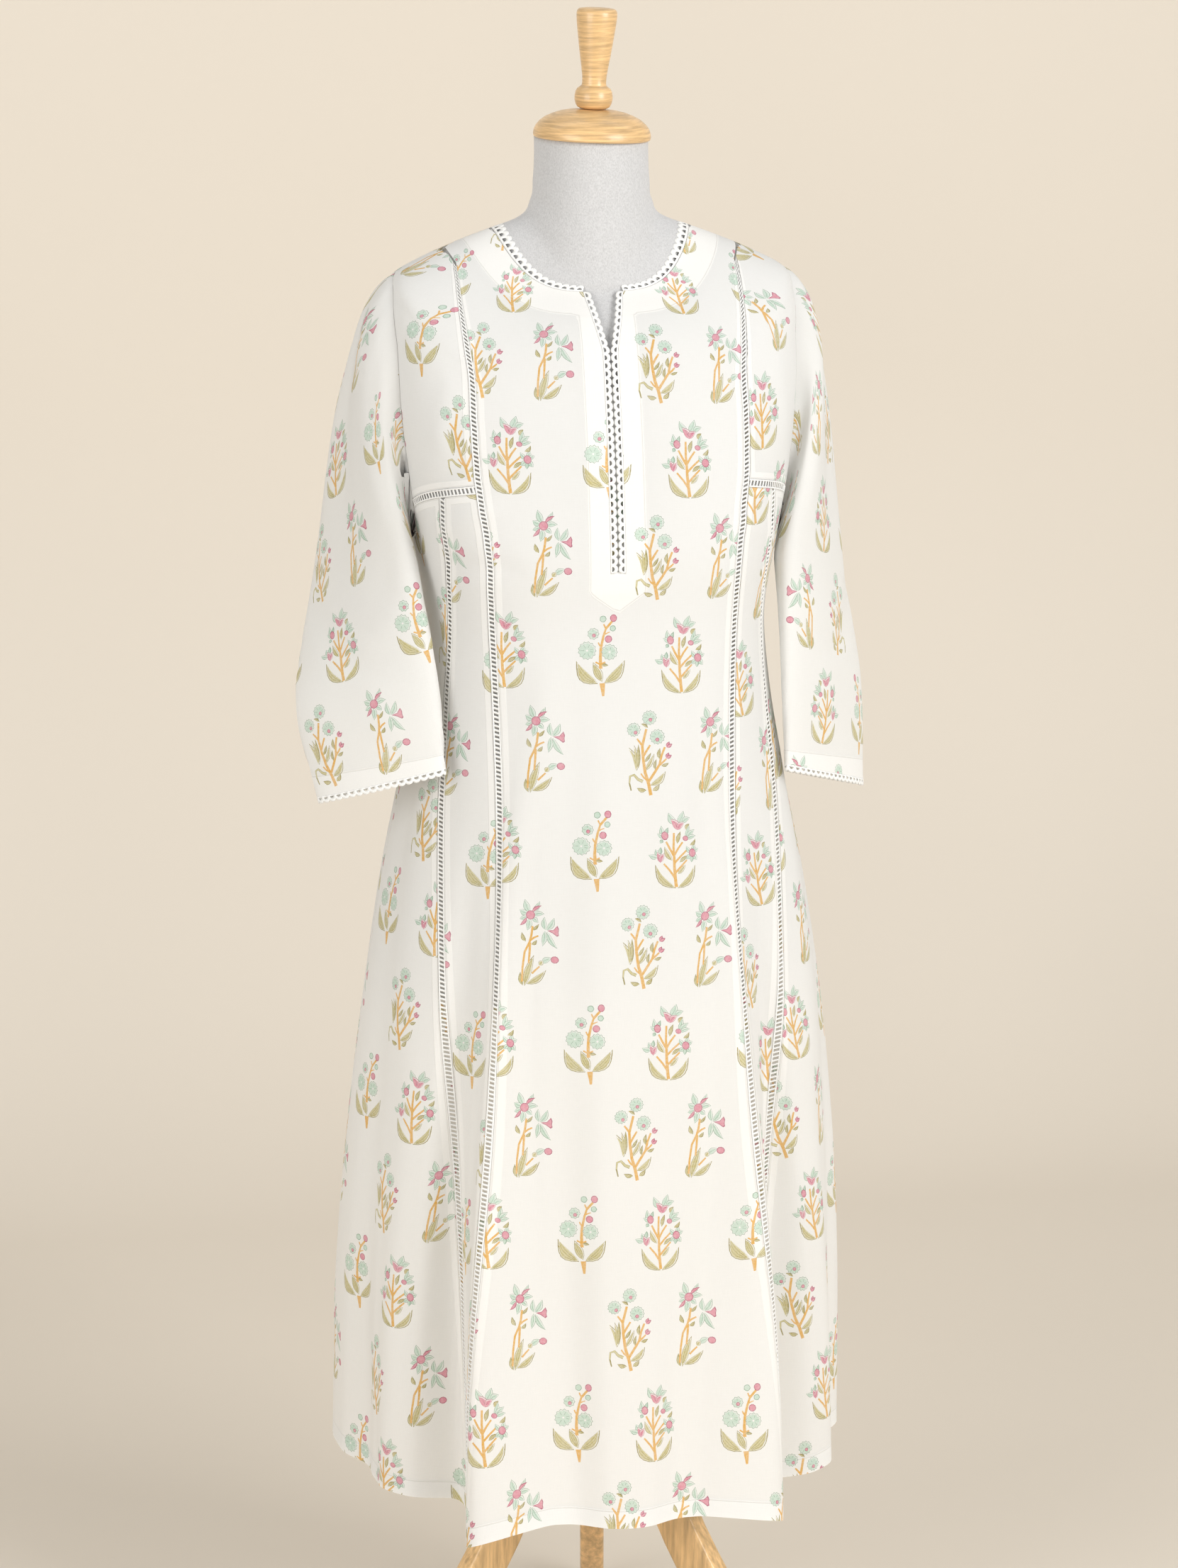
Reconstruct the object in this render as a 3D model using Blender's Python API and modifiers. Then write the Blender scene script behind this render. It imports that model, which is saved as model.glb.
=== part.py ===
"""A long kurta tunic with inserted ladder laces, worn by a limbless dress form on three legs.

Metres, +Z up, the wearer's front towards -Y. Every cloth piece is a thin wall lofted between rings of
the body. An angle of 0 is the centre front, +90 degrees the +X side and 180 degrees the centre back.
"""

import math

import bmesh
import bpy
import numpy as np
from mathutils import Matrix, Vector

WALL = 0.0012
SEAM_GAP = 0.0003
LAYER_GAP = 0.0005
LACE_WIDTH = 0.008
LACE_STRIP = 0.0076
BESIDE_LACE = LACE_WIDTH / 2 + SEAM_GAP
EDGE_LACE_WIDTH = 0.0072
HEM_TURNING = 0.018

HEM = 0.262
UNDERARM = 1.200
SHOULDER_TIP = 1.460
YOKE_TOP = 1.4835
LACE_TOP = 1.4845
PRINCESS_TOP = 1.4865
FACING_LOW = 1.4910
NECKLINE = 1.502
SLIT_BOTTOM = 1.183
NECK_TOP = 1.588

# How steeply a ring climbs from the centre front to the shoulder.
RISE_POWER = 4

# The worn garment's outer face, and above the neckline the neck that it lies on. height is at the side of
# a ring, front_drop and back_drop are how far its middle hangs below that, and exponent is its squareness.
# The first ring lies below the hem, so that the cloth has a slope there.
RING_COLUMNS = ("height", "front_drop", "back_drop", "half_width", "front", "back", "centre", "exponent")
RINGS = (
    (0.200, 0.026, 0.005, 0.2635, 0.2230, 0.2235, 0.050, 1.95),
    (0.262, 0.022, 0.004, 0.2620, 0.2160, 0.2180, 0.045, 1.95),
    (0.450, 0.012, 0.002, 0.2585, 0.1960, 0.2020, 0.030, 1.95),
    (0.600, 0.004, 0.000, 0.2480, 0.1850, 0.1860, 0.012, 2.00),
    (0.760, 0.000, 0.000, 0.2290, 0.1750, 0.1690, 0.000, 2.05),
    (0.870, 0.000, 0.000, 0.2110, 0.1670, 0.1550, 0.000, 2.15),
    (0.970, 0.000, 0.000, 0.1900, 0.1600, 0.1400, 0.000, 2.30),
    (1.060, 0.000, 0.000, 0.1730, 0.1500, 0.1220, 0.000, 2.60),
    (1.130, 0.000, 0.000, 0.1670, 0.1450, 0.1120, 0.000, 2.90),
    (1.200, 0.002, 0.000, 0.1780, 0.1470, 0.1070, 0.000, 3.00),
    (1.260, 0.012, 0.002, 0.1900, 0.1400, 0.1080, 0.000, 2.85),
    (1.330, 0.035, 0.008, 0.2000, 0.1310, 0.1100, 0.002, 2.60),
    (1.400, 0.065, 0.018, 0.2030, 0.1210, 0.1060, 0.006, 2.40),
    (1.440, 0.082, 0.024, 0.2010, 0.1140, 0.0980, 0.010, 2.30),
    (1.460, 0.088, 0.026, 0.1930, 0.1100, 0.0900, 0.012, 2.25),
    (1.475, 0.078, 0.022, 0.1650, 0.1010, 0.0800, 0.014, 2.20),
    (1.490, 0.066, 0.014, 0.1300, 0.0840, 0.0700, 0.014, 2.10),
    (1.502, 0.056, 0.008, 0.0980, 0.0640, 0.0630, 0.012, 2.00),
    (1.510, 0.052, 0.006, 0.0750, 0.0600, 0.0620, 0.008, 2.00),
    (1.530, 0.034, 0.003, 0.0590, 0.0560, 0.0620, 0.004, 2.00),
    (1.550, 0.020, 0.001, 0.0575, 0.0540, 0.0620, 0.004, 2.00),
    (1.590, 0.000, 0.000, 0.0580, 0.0540, 0.0620, 0.004, 2.00),
)

# The seams that carry a ladder lace, as half-distances from the centre at each height.
PRINCESS_COLUMNS = ("height", "half_distance")
PRINCESS_SEAM = (
    (0.262, 0.136),
    (0.450, 0.124),
    (0.600, 0.117),
    (0.875, 0.1155),
    (0.974, 0.1156),
    (1.150, 0.1208),
    (1.216, 0.1247),
    (1.295, 0.1325),
    (1.365, 0.1338),
    (1.460, 0.1360),
    (1.478, 0.1390),
    (1.490, 0.1390),
)
SIDE_SEAM_COLUMNS = ("height", "half_distance")
SIDE_LACE_SEAM = (
    (0.262, 0.162),
    (0.437, 0.166),
    (0.630, 0.168),
    (0.776, 0.170),
    (0.931, 0.167),
    (1.050, 0.159),
    (1.130, 0.155),
    (1.200, 0.160),
    (1.260, 0.165),
)

# The armhole's front edge. Its back edge mirrors it about 90 degrees.
ARMHOLE_COLUMNS = ("height", "angle")
ARMHOLE = (
    (1.200, 90.0),
    (1.206, 82.0),
    (1.220, 76.5),
    (1.250, 72.5),
    (1.300, 70.5),
    (1.360, 70.5),
    (1.410, 73.0),
    (1.440, 78.0),
    (1.455, 84.0),
    (1.460, 90.0),
)

# The horizontal lace between yoke and gores falls from the princess seam to the armhole.
YOKE_LACE_INNER = (41.0, 1.274)
YOKE_LACE_OUTER = (74.0, 1.240)

# Skirt folds on both sides: where the crest runs, how far it stands out (or in, if negative) at the hem,
# how far it leans to the side, and the height at which it has died away.
FOLD_COLUMNS = ("hem_angle", "top_angle", "half_angle", "top_half_angle", "stands_out", "lean", "top")
FOLDS = (
    (27.0, 30.0, 11.0, 5.0, 0.034, 4.5, 1.060),
    (12.0, 14.0, 9.0, 8.0, -0.010, 0.0, 0.900),
    (43.0, 41.0, 9.5, 6.0, -0.034, 0.0, 0.980),
    (57.0, 55.0, 8.0, 8.0, 0.010, 1.0, 0.850),
    (72.0, 70.0, 9.0, 8.0, -0.012, 0.0, 0.800),
    (104.0, 102.0, 12.0, 12.0, -0.012, 0.0, 0.900),
    (120.0, 118.0, 12.0, 12.0, 0.014, 0.0, 1.000),
    (139.0, 138.0, 13.0, 12.0, -0.018, 0.0, 1.050),
    (158.0, 160.0, 13.0, 12.0, 0.016, 0.0, 1.100),
    (180.0, 180.0, 13.0, 12.0, -0.016, 0.0, 1.100),
)

# Flat-pressed sleeves: the ends of each section at its front and back creases, and its half thickness.
SLEEVE_COLUMNS = ("front_x", "front_y", "front_z", "back_x", "back_y", "back_z", "half_thickness")
SLEEVES = {
    "left": (
        (-0.187, -0.069, 1.175, -0.262, 0.080, 1.165, 0.026),
        (-0.173, -0.092, 1.100, -0.288, 0.022, 1.085, 0.021),
        (-0.167, -0.106, 1.045, -0.298, -0.014, 1.030, 0.018),
        (-0.165, -0.118, 0.992, -0.283, -0.050, 0.953, 0.014),
    ),
    "right": (
        (0.178, -0.084, 1.175, 0.255, 0.058, 1.165, 0.026),
        (0.177, -0.090, 1.100, 0.272, 0.044, 1.085, 0.021),
        (0.177, -0.092, 1.045, 0.278, 0.026, 1.030, 0.018),
        (0.178, -0.095, 0.978, 0.277, 0.002, 0.940, 0.014),
    ),
}
SIDES = {"left": -1, "right": 1}

# The form stands this far inside the garment's outer face.
EASE_COLUMNS = ("height", "ease")
EASE = (
    (0.740, 0.050),
    (0.870, 0.032),
    (0.970, 0.024),
    (1.060, 0.026),
    (1.130, 0.026),
    (1.200, 0.0120),
    (1.300, 0.0080),
    (1.400, 0.0050),
    (1.450, 0.0040),
    (1.468, 0.0038),
    (1.478, 0.0037),
    (1.487, 0.0020),
    (1.590, 0.0020),
)
# In front, as far up as the neckline, it keeps clear of the facings too.
FACING_ROOM = 0.0038
FORM_BOTTOM = 0.740
HEAD_TILT = math.radians(2.4)

# Turned wood, outer side from top to bottom: radius and height above the neck.
CAP_PROFILE = (
    (0.0000, 0.0290), (0.0170, 0.0285), (0.0320, 0.0262), (0.0450, 0.0215), (0.0535, 0.0145),
    (0.0570, 0.0070), (0.0575, 0.0030), (0.0565, 0.0003), (0.0000, 0.0003),
)
FINIAL_PROFILE = (
    (0.0000, 0.1270), (0.0150, 0.1262), (0.0192, 0.1235), (0.0200, 0.1195), (0.0180, 0.0980),
    (0.0145, 0.0760), (0.0117, 0.0560), (0.0118, 0.0520), (0.0165, 0.0490), (0.0184, 0.0430),
    (0.0184, 0.0370), (0.0165, 0.0320), (0.0120, 0.0294), (0.0000, 0.0294),
)
HUB_PROFILE = (
    (0.0000, 0.4300), (0.0280, 0.4300), (0.0400, 0.4200), (0.0400, 0.3450), (0.0280, 0.3300),
    (0.0000, 0.3250),
)
POLE_RADIUS = 0.0125
HUB_RADIUS = 0.040

# A leg's centre line in its own upright plane, from the hub to the toe.
LEG_COLUMNS = ("reach", "height")
LEG_LINE = (
    (0.0403, 0.385),
    (0.052, 0.345),
    (0.064, 0.290),
    (0.092, 0.210),
    (0.1255, 0.147),
    (0.168, 0.086),
    (0.215, 0.038),
    (0.262, 0.021),
    (0.285, 0.021),
)
LEG_HALF_DEPTH = 0.021
LEG_THICKNESS = 0.025
LEG_ANGLES = {"leg_back": 80, "leg_left": 200, "leg_right": 320}

# How many columns of faces run across each panel, for the centre front across one half.
COLUMNS = {"front_centre": 10, "yoke": 6, "gore_inner": 4, "gore_outer": 12, "back": 22}
SLEEVE_CAP_ROWS = 8
SLEEVE_LOWER_ROWS = 6
SKIRT_ROWS = (0.262, 0.280, 0.350, 0.420, 0.500, 0.580, 0.660, 0.740, 0.820, 0.900, 0.975, 1.050, 1.120, 1.183,
              1.200)
BODICE_ROWS = (1.222, 1.2695, 1.2785, 1.310, 1.350, 1.385, 1.415, 1.440, 1.455, 1.460, 1.468, 1.476)
NECK_ROWS = (LACE_TOP, PRINCESS_TOP, FACING_LOW, NECKLINE)
ARMHOLE_FRONT_ROWS = (1.455, 1.440, 1.415, 1.385, 1.350, 1.310, 1.2785, 1.2445, 1.222, 1.206)
ARMHOLE_BACK_ROWS = (1.206, 1.222, 1.260, 1.320, 1.380, 1.430)
BACK_ROWS = (1.206, 1.222, 1.260, 1.320, 1.380, 1.430, 1.460, 1.468, 1.476)

COLLECTION_NAME = "kurta tunic on a dress form"


def smooth_between(rows, at):
    """The second column of a two-column table at these values of the first, on a smooth curve."""
    known, values = np.array(rows, float).T
    slopes = np.gradient(values, known)
    flat = np.diff(values) == 0
    slopes[:-1][flat] = 0
    slopes[1:][flat] = 0
    at = np.clip(np.asarray(at, float), known[0], known[-1])
    first = np.clip(np.searchsorted(known, at, side="right") - 1, 0, len(known) - 2)
    span = known[first + 1] - known[first]
    share = (at - known[first]) / span
    start = (1 + 2 * share) * (1 - share) ** 2
    end = share**2 * (3 - 2 * share)
    leaving = share * (1 - share) ** 2 * span
    arriving = share**2 * (share - 1) * span
    return (
        start * values[first] + end * values[first + 1]
        + leaving * slopes[first] + arriving * slopes[first + 1]
    )


def ring_at(height):
    """Each column of the rings' table at these heights."""
    heights = [row[0] for row in RINGS]
    return {
        column: smooth_between(list(zip(heights, (row[i] for row in RINGS))), height)
        for i, column in enumerate(RING_COLUMNS) if i
    }


def ring_point(angle, height):
    """A point of the smooth body, with no folds."""
    ring = ring_at(height)
    sine, cosine = np.sin(angle), np.cos(angle)
    power = ring["exponent"]
    size = (np.abs(sine) ** power + np.abs(cosine) ** power) ** (1 / power)
    across, ahead = sine / size, cosine / size
    reach = np.where(cosine > 0, ring["front"] + ring["centre"], ring["back"] - ring["centre"])
    drop = np.where(cosine > 0, ring["front_drop"], ring["back_drop"])
    return np.stack(
        (
            ring["half_width"] * across,
            ring["centre"] - reach * ahead,
            height - drop * (1 - np.abs(across) ** RISE_POWER),
        ),
        axis=-1,
    )


def normals_of(surface, angle, height, small=1e-4):
    """Unit normals of a surface of angle and height, pointing out of the body."""
    along = surface(angle + small, height) - surface(angle - small, height)
    up = surface(angle, height + small) - surface(angle, height - small)
    normal = np.cross(along, up)
    return normal / np.linalg.norm(normal, axis=-1, keepdims=True)


def fold_shift(angle, height):
    """How far the folds push the cloth out, and how far they lean it to the side in radians."""
    side = np.sign(np.sin(angle)) + (np.sin(angle) == 0)
    from_front = np.degrees(np.arccos(np.clip(np.cos(angle), -1, 1)))
    out, lean = np.zeros(np.shape(from_front)), np.zeros(np.shape(from_front))
    for fold in (dict(zip(FOLD_COLUMNS, row)) for row in FOLDS):
        share = np.clip((fold["top"] - height) / (fold["top"] - HEM), 0, 1)
        grown = share * share * (3 - 2 * share)
        crest = fold["top_angle"] + (fold["hem_angle"] - fold["top_angle"]) * share
        half = fold["top_half_angle"] + (fold["half_angle"] - fold["top_half_angle"]) * share
        near = np.clip(np.abs(from_front - crest) / half, 0, 1)
        bump = np.cos(near * math.pi / 2) ** 2 * grown
        out += fold["stands_out"] * bump
        lean += np.radians(fold["lean"]) * bump * side
    return out, lean


def cloth_point(angle, height):
    """A point of the garment's outer face, with its folds."""
    angle, height = np.broadcast_arrays(np.asarray(angle, float), np.asarray(height, float))
    out, lean = fold_shift(angle, height)
    moved = angle + lean
    return ring_point(moved, height) + out[..., None] * normals_of(ring_point, moved, height)


def angle_for(distance, angle, height):
    """The change of angle that moves a point this far round the body."""
    small = 1e-3
    moved = ring_point(angle + small, height) - ring_point(angle - small, height)
    return distance * 2 * small / np.linalg.norm(moved, axis=-1)


def height_for(distance, angle, height):
    """The change of height that moves a point this far up the cloth."""
    small = 1e-3
    moved = ring_point(angle, height + small) - ring_point(angle, height - small)
    return distance * 2 * small / np.linalg.norm(moved, axis=-1)


def seam_angle(seam, height):
    """The angle, on the +X side, at which a ring has the seam's half-distance from the centre."""
    ring = ring_at(height)
    across = np.clip(smooth_between(seam, height) / ring["half_width"], 0, 1)
    ahead = (1 - across ** ring["exponent"]) ** (1 / ring["exponent"])
    return np.arctan2(across, ahead)


def beside_seam(seam, height, distance):
    """The angle that lies this far outside a seam on the +X side, and no further round than the shoulder."""
    angle = seam_angle(seam, height)
    shoulder = math.pi / 2 - angle_for(SEAM_GAP / 2, math.pi / 2, height)
    return np.minimum(angle + angle_for(distance, angle, height), shoulder)


def armhole_angle(height):
    """The angle of the armhole's front edge, or of the side or shoulder seam below and above it."""
    angle = np.radians(smooth_between(ARMHOLE, height))
    return np.minimum(angle, math.pi / 2 - angle_for(SEAM_GAP / 2, math.pi / 2, height))


def yoke_lace_height(angle, distance):
    """The height that lies this far above the middle of the yoke lace."""
    (inner, high), (outer, low) = YOKE_LACE_INNER, YOKE_LACE_OUTER
    middle = high + (low - high) * (np.degrees(np.abs(angle)) - inner) / (outer - inner)
    return middle + height_for(distance, angle, middle)


def add_object(name, mesh, material):
    obj = bpy.data.objects.new(name, mesh)
    bpy.data.collections[COLLECTION_NAME].objects.link(obj)
    mesh.materials.append(material)
    return obj


def wall_mesh(name, outer, inner, cells, closed_round=False):
    """A closed wall between two grids of points, over the cells that are True, with its rims filled."""
    rows, columns = outer.shape[:2]
    mesh = bmesh.new()
    faces_of = []
    for grid in (outer, inner):
        faces_of.append([[mesh.verts.new(point) for point in row] for row in grid])
    front, back = faces_of

    def used(row, column):
        if closed_round:
            column %= columns
        inside = 0 <= row < cells.shape[0] and 0 <= column < cells.shape[1]
        return inside and cells[row, column]

    for row in range(cells.shape[0]):
        for column in range(cells.shape[1]):
            if not cells[row, column]:
                continue
            after = (column + 1) % columns
            ring = ((row, column), (row, after), (row + 1, after), (row + 1, column))
            beyond = ((row - 1, column), (row, column + 1), (row + 1, column), (row, column - 1))
            mesh.faces.new([front[r][c] for r, c in ring])
            mesh.faces.new([back[r][c] for r, c in ring[:1] + ring[:0:-1]])
            for start, end, next_cell in zip(ring, ring[1:] + ring[:1], beyond):
                if not used(*next_cell):
                    mesh.faces.new(
                        (front[end[0]][end[1]], front[start[0]][start[1]],
                         back[start[0]][start[1]], back[end[0]][end[1]])
                    )
    loose = [vert for vert in mesh.verts if not vert.link_faces]
    bmesh.ops.delete(mesh, geom=loose, context="VERTS")
    data = bpy.data.meshes.new(name)
    mesh.to_mesh(data)
    mesh.free()
    data.shade_smooth()
    data.set_sharp_from_angle(angle=math.radians(50))
    return data


def cloth_wall(name, angle, height, material, depth=0.0, cells=None, closed_round=False):
    """A piece of the garment over a grid of angles and heights, its outer face this deep inside the cloth's."""
    angle, height = np.broadcast_arrays(angle, height)
    surface = cloth_point(angle, height)
    inward = -normals_of(cloth_point, angle, height)
    if cells is None:
        cells = np.ones((angle.shape[0] - 1, angle.shape[1] - (not closed_round)), bool)
    outer = surface + inward * depth
    inner = surface + inward * (depth + WALL)
    return add_object(name, wall_mesh(name, outer, inner, cells, closed_round), material)


def spread(left, right, count):
    """A grid whose rows run evenly from left to right, which hold one value for each row."""
    share = np.linspace(0, 1, count + 1)
    return left[:, None] * (1 - share) + right[:, None] * share


def slit_half_width(height):
    """Half the width between the cloth's edges at the front slit, without its laces."""
    z = ring_point(0.0, height)[..., 2]
    opening = np.clip((z - 1.393) / (1.446 - 1.393), 0, 1)
    return EDGE_LACE_WIDTH + SEAM_GAP * 1.5 + 0.0125 * opening


def front_centre_angles(heights):
    """The columns of the centre front's +X half, from the slit to the princess seam or the shoulder."""
    edge = beside_seam(PRINCESS_SEAM, heights, -BESIDE_LACE)
    shoulder = math.pi / 2 - angle_for(SEAM_GAP / 2, math.pi / 2, heights)
    edge = np.where(heights > LACE_TOP + 1e-6, shoulder, edge)
    slit = angle_for(slit_half_width(heights), 0.0, heights)
    return spread(slit, edge, COLUMNS["front_centre"])


def inner_gore_angles(heights):
    left = beside_seam(PRINCESS_SEAM, heights, BESIDE_LACE)
    right = beside_seam(SIDE_LACE_SEAM, heights, -BESIDE_LACE)
    return spread(left, right, COLUMNS["gore_inner"])


def outer_gore_angles(heights):
    left = beside_seam(SIDE_LACE_SEAM, heights, BESIDE_LACE)
    return spread(left, armhole_angle(heights), COLUMNS["gore_outer"])


def back_angles(heights):
    edge = math.pi - armhole_angle(heights)
    return spread(edge, 2 * math.pi - edge, COLUMNS["back"])


def make_front_centre(material):
    """The centre front, from shoulder to hem between the princess seams, with its slit cut open."""
    heights = np.array(SKIRT_ROWS + BODICE_ROWS + NECK_ROWS)
    half = front_centre_angles(heights)
    angle = np.concatenate((-half[:, ::-1], half), axis=1)
    count = COLUMNS["front_centre"]
    cells = np.ones((len(heights) - 1, 2 * count + 1), bool)
    cells[heights[:-1] >= SLIT_BOTTOM - 1e-6, count] = False
    return cloth_wall("front_centre", angle, heights[:, None], material, cells=cells)


def make_yoke(side, material):
    """The upper side front, between the princess seam, the shoulder, the armhole and the yoke lace."""
    heights = np.array(BODICE_ROWS[2:] + (YOKE_TOP,))
    left = beside_seam(PRINCESS_SEAM, heights, BESIDE_LACE)
    count = COLUMNS["yoke"]
    angle = spread(left, armhole_angle(heights), count)
    height = np.repeat(heights[:, None], count + 1, axis=1)
    height[0] = yoke_lace_height(angle[0], BESIDE_LACE)
    left_foot = beside_seam(PRINCESS_SEAM, height[0, :1], BESIDE_LACE)
    right_foot = armhole_angle(height[0, -1:])
    angle[0] = spread(left_foot, right_foot, count)[0]
    return mirrored_wall(f"yoke_{side}", angle, height, material, side)


def mirrored_wall(name, angle, height, material, side, depth=0.0):
    """A wall given on the +X side, made on either side."""
    if SIDES[side] < 0:
        angle, height = -angle[:, ::-1], height[:, ::-1]
    return cloth_wall(name, angle, height, material, depth)


def make_inner_gore(side, material):
    """The lower side front, between the princess and the side lace, from the yoke lace to the hem."""
    heights = np.array(SKIRT_ROWS + (BODICE_ROWS[0], YOKE_LACE_INNER[1]))
    return make_gore(f"gore_inner_{side}", heights, inner_gore_angles(heights), material, side)


def make_gore(name, heights, angle, material, side):
    """A gore whose topmost row follows the lower edge of the yoke lace."""
    height = np.repeat(heights[:, None], angle.shape[1], axis=1)
    height[-1] = yoke_lace_height(angle[-1], -BESIDE_LACE)
    return mirrored_wall(name, angle, height, material, side)


def make_outer_gore(side, material):
    """The side of the skirt, from the side lace round to the side seam under the arm."""
    heights = np.array(SKIRT_ROWS + (1.206, BODICE_ROWS[0], YOKE_LACE_OUTER[1]))
    return make_gore(f"gore_outer_{side}", heights, outer_gore_angles(heights), material, side)


def make_back(material):
    """The back, in one piece from shoulder to hem."""
    heights = np.array(SKIRT_ROWS + BACK_ROWS + (YOKE_TOP,) + NECK_ROWS)
    return cloth_wall("back", back_angles(heights), heights[:, None], material)


def make_princess_lace(side, material):
    heights = np.array(SKIRT_ROWS + BODICE_ROWS + (LACE_TOP - 0.0006,))
    return make_lace_strip(f"lace_princess_{side}", PRINCESS_SEAM, heights, material, side)


def make_side_lace(side, material):
    heights = np.array(SKIRT_ROWS + (BODICE_ROWS[0], YOKE_LACE_OUTER[1]))
    return make_lace_strip(f"lace_side_{side}", SIDE_LACE_SEAM, heights, material, side)


def make_lace_strip(name, seam, heights, material, side):
    """A ladder lace sewn in along a seam."""
    left = beside_seam(seam, heights, -LACE_STRIP / 2)
    right = beside_seam(seam, heights, LACE_STRIP / 2)
    angle = spread(left, right, 1)
    height = np.repeat(heights[:, None], 2, axis=1)
    if seam is SIDE_LACE_SEAM:
        height[-1] = yoke_lace_height(angle[-1], -BESIDE_LACE - SEAM_GAP)
    return mirrored_wall(name, angle, height, material, side)


def make_yoke_lace(side, material):
    """The ladder lace between yoke and gores, from the princess lace to the armhole."""
    rows = []
    for distance in (-LACE_WIDTH / 2, LACE_WIDTH / 2):
        start = beside_seam(PRINCESS_SEAM, np.array([YOKE_LACE_INNER[1]]), BESIDE_LACE)
        end = armhole_angle(np.array([YOKE_LACE_OUTER[1] + distance]))
        angle = spread(start, end, 7)[0]
        rows.append((angle, yoke_lace_height(angle, distance)))
    angle = np.array([row[0] for row in rows])
    height = np.array([row[1] for row in rows])
    return mirrored_wall(f"lace_yoke_{side}", angle, height, material, side)


def make_neck_lace(material):
    """The scalloped lace round the neckline, open at the front slit."""
    low = np.full(1, NECKLINE + 0.0006)
    rows = []
    for distance in (0.0, EDGE_LACE_WIDTH):
        height = low + height_for(distance, 0.0, low)
        start = angle_for(slit_half_width(np.array([NECKLINE])) + SEAM_GAP, 0.0, height)
        rows.append((spread(start, 2 * math.pi - start, 56)[0], height[0]))
    angle = np.array([row[0] for row in rows])
    height = np.array([[row[1]] for row in rows])
    return cloth_wall("lace_neck", angle, height, material)


def make_slit_lace(side, material):
    """The scalloped lace down one edge of the front slit."""
    heights = np.array((SLIT_BOTTOM + 0.0006, UNDERARM) + BODICE_ROWS + NECK_ROWS)
    outer = slit_half_width(heights) - SEAM_GAP
    inner = outer - EDGE_LACE_WIDTH
    angle = spread(angle_for(inner, 0.0, heights), angle_for(outer, 0.0, heights), 1)
    height = np.repeat(heights[:, None], 2, axis=1)
    return mirrored_wall(f"lace_slit_{side}", angle, height, material, side)


def make_hem_turning(material):
    """The hem's turned-up band, one loop inside the cloth."""
    heights = np.array((HEM, HEM + HEM_TURNING))
    front = (front_centre_angles(heights), inner_gore_angles(heights), outer_gore_angles(heights))
    half = np.concatenate(front, axis=1)
    back = back_angles(heights)[:, 1:-1]
    angle = np.concatenate((half, back, 2 * math.pi - half[:, ::-1]), axis=1)
    return cloth_wall("hem_turning", angle, heights[:, None], material, WALL + 2 * LAYER_GAP, closed_round=True)


def make_neck_facing(material):
    """The facing round the front neckline, inside the cloth, which shows through it."""
    heights = np.array((FACING_LOW, NECKLINE))
    angle = front_centre_angles(heights)
    height = np.repeat(heights[:, None], angle.shape[1], axis=1)
    for side in SIDES:
        mirrored_wall(f"facing_neck_{side}", angle, height, material, side, WALL + LAYER_GAP)


def make_placket(cloth, facing):
    """The facing down both edges of the slit, and the printed piece behind it that closes the slit."""
    rows = SKIRT_ROWS + BODICE_ROWS + NECK_ROWS[:2]
    low, high = 1.143, FACING_LOW - 2 * SEAM_GAP
    heights = np.array([low, 1.163] + [row for row in rows if row > 1.17] + [high])
    inner = angle_for(slit_half_width(heights), 0.0, heights)
    outer = angle_for(np.full(len(heights), 0.029), 0.0, heights)
    outer[0] = inner[0] * 0.35
    angle = np.concatenate((-outer[:, None], -inner[:, None], inner[:, None], outer[:, None]), axis=1)
    angle[0, 1:3] = angle[0, 0] / 3, angle[0, 3] / 3
    cells = np.ones((len(heights) - 1, 3), bool)
    cells[heights[:-1] >= SLIT_BOTTOM - 1e-6, 1] = False
    cloth_wall("facing_placket", angle, heights[:, None], facing, WALL + LAYER_GAP, cells)
    heights = np.array([row for row in rows if 1.17 < row < 1.45])
    edge = angle_for(np.full(len(heights), 0.026), 0.0, heights)
    angle = spread(-edge, edge, 3)
    cloth_wall("underlap", angle, heights[:, None], cloth, 2 * (WALL + LAYER_GAP))


def armhole_loop(side):
    """Points round the armhole, on the panels' own rows, and each point's turn round the sleeve.

    They run from the shoulder tip down the front, under the arm and up the back.
    """
    front_heights = [SHOULDER_TIP, *ARMHOLE_FRONT_ROWS, UNDERARM]
    height = np.array(front_heights + [*ARMHOLE_BACK_ROWS])
    turn = np.arccos(1 - 2 * (SHOULDER_TIP - height) / (SHOULDER_TIP - UNDERARM))
    in_front = np.arange(len(height)) < len(front_heights)
    angle = np.where(in_front, armhole_angle(height), math.pi - armhole_angle(height))
    angle[[0, len(front_heights) - 1]] = math.pi / 2
    points = cloth_point(angle, height)
    points[:, 0] *= SIDES[side]
    towards = points.mean(axis=0) - points
    towards *= 3 * SEAM_GAP / np.linalg.norm(towards, axis=1, keepdims=True)
    towards[:, 0] += SIDES[side] * SEAM_GAP
    return np.where(in_front, turn, 2 * math.pi - turn), points + towards


def sleeve_section(row, turn):
    """A flattened ring between a front and a back crease, from the middle of its outer face."""
    values = dict(zip(SLEEVE_COLUMNS, row))
    front = np.array([values["front_x"], values["front_y"], values["front_z"]])
    back = np.array([values["back_x"], values["back_y"], values["back_z"]])
    middle, half = (front + back) / 2, (front - back) / 2
    out = np.array([-half[1], half[0], 0.0])
    out *= np.sign(out[0] * middle[0]) / np.linalg.norm(out)
    return middle + np.sin(turn)[:, None] * half + np.cos(turn)[:, None] * out * values["half_thickness"]


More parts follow.
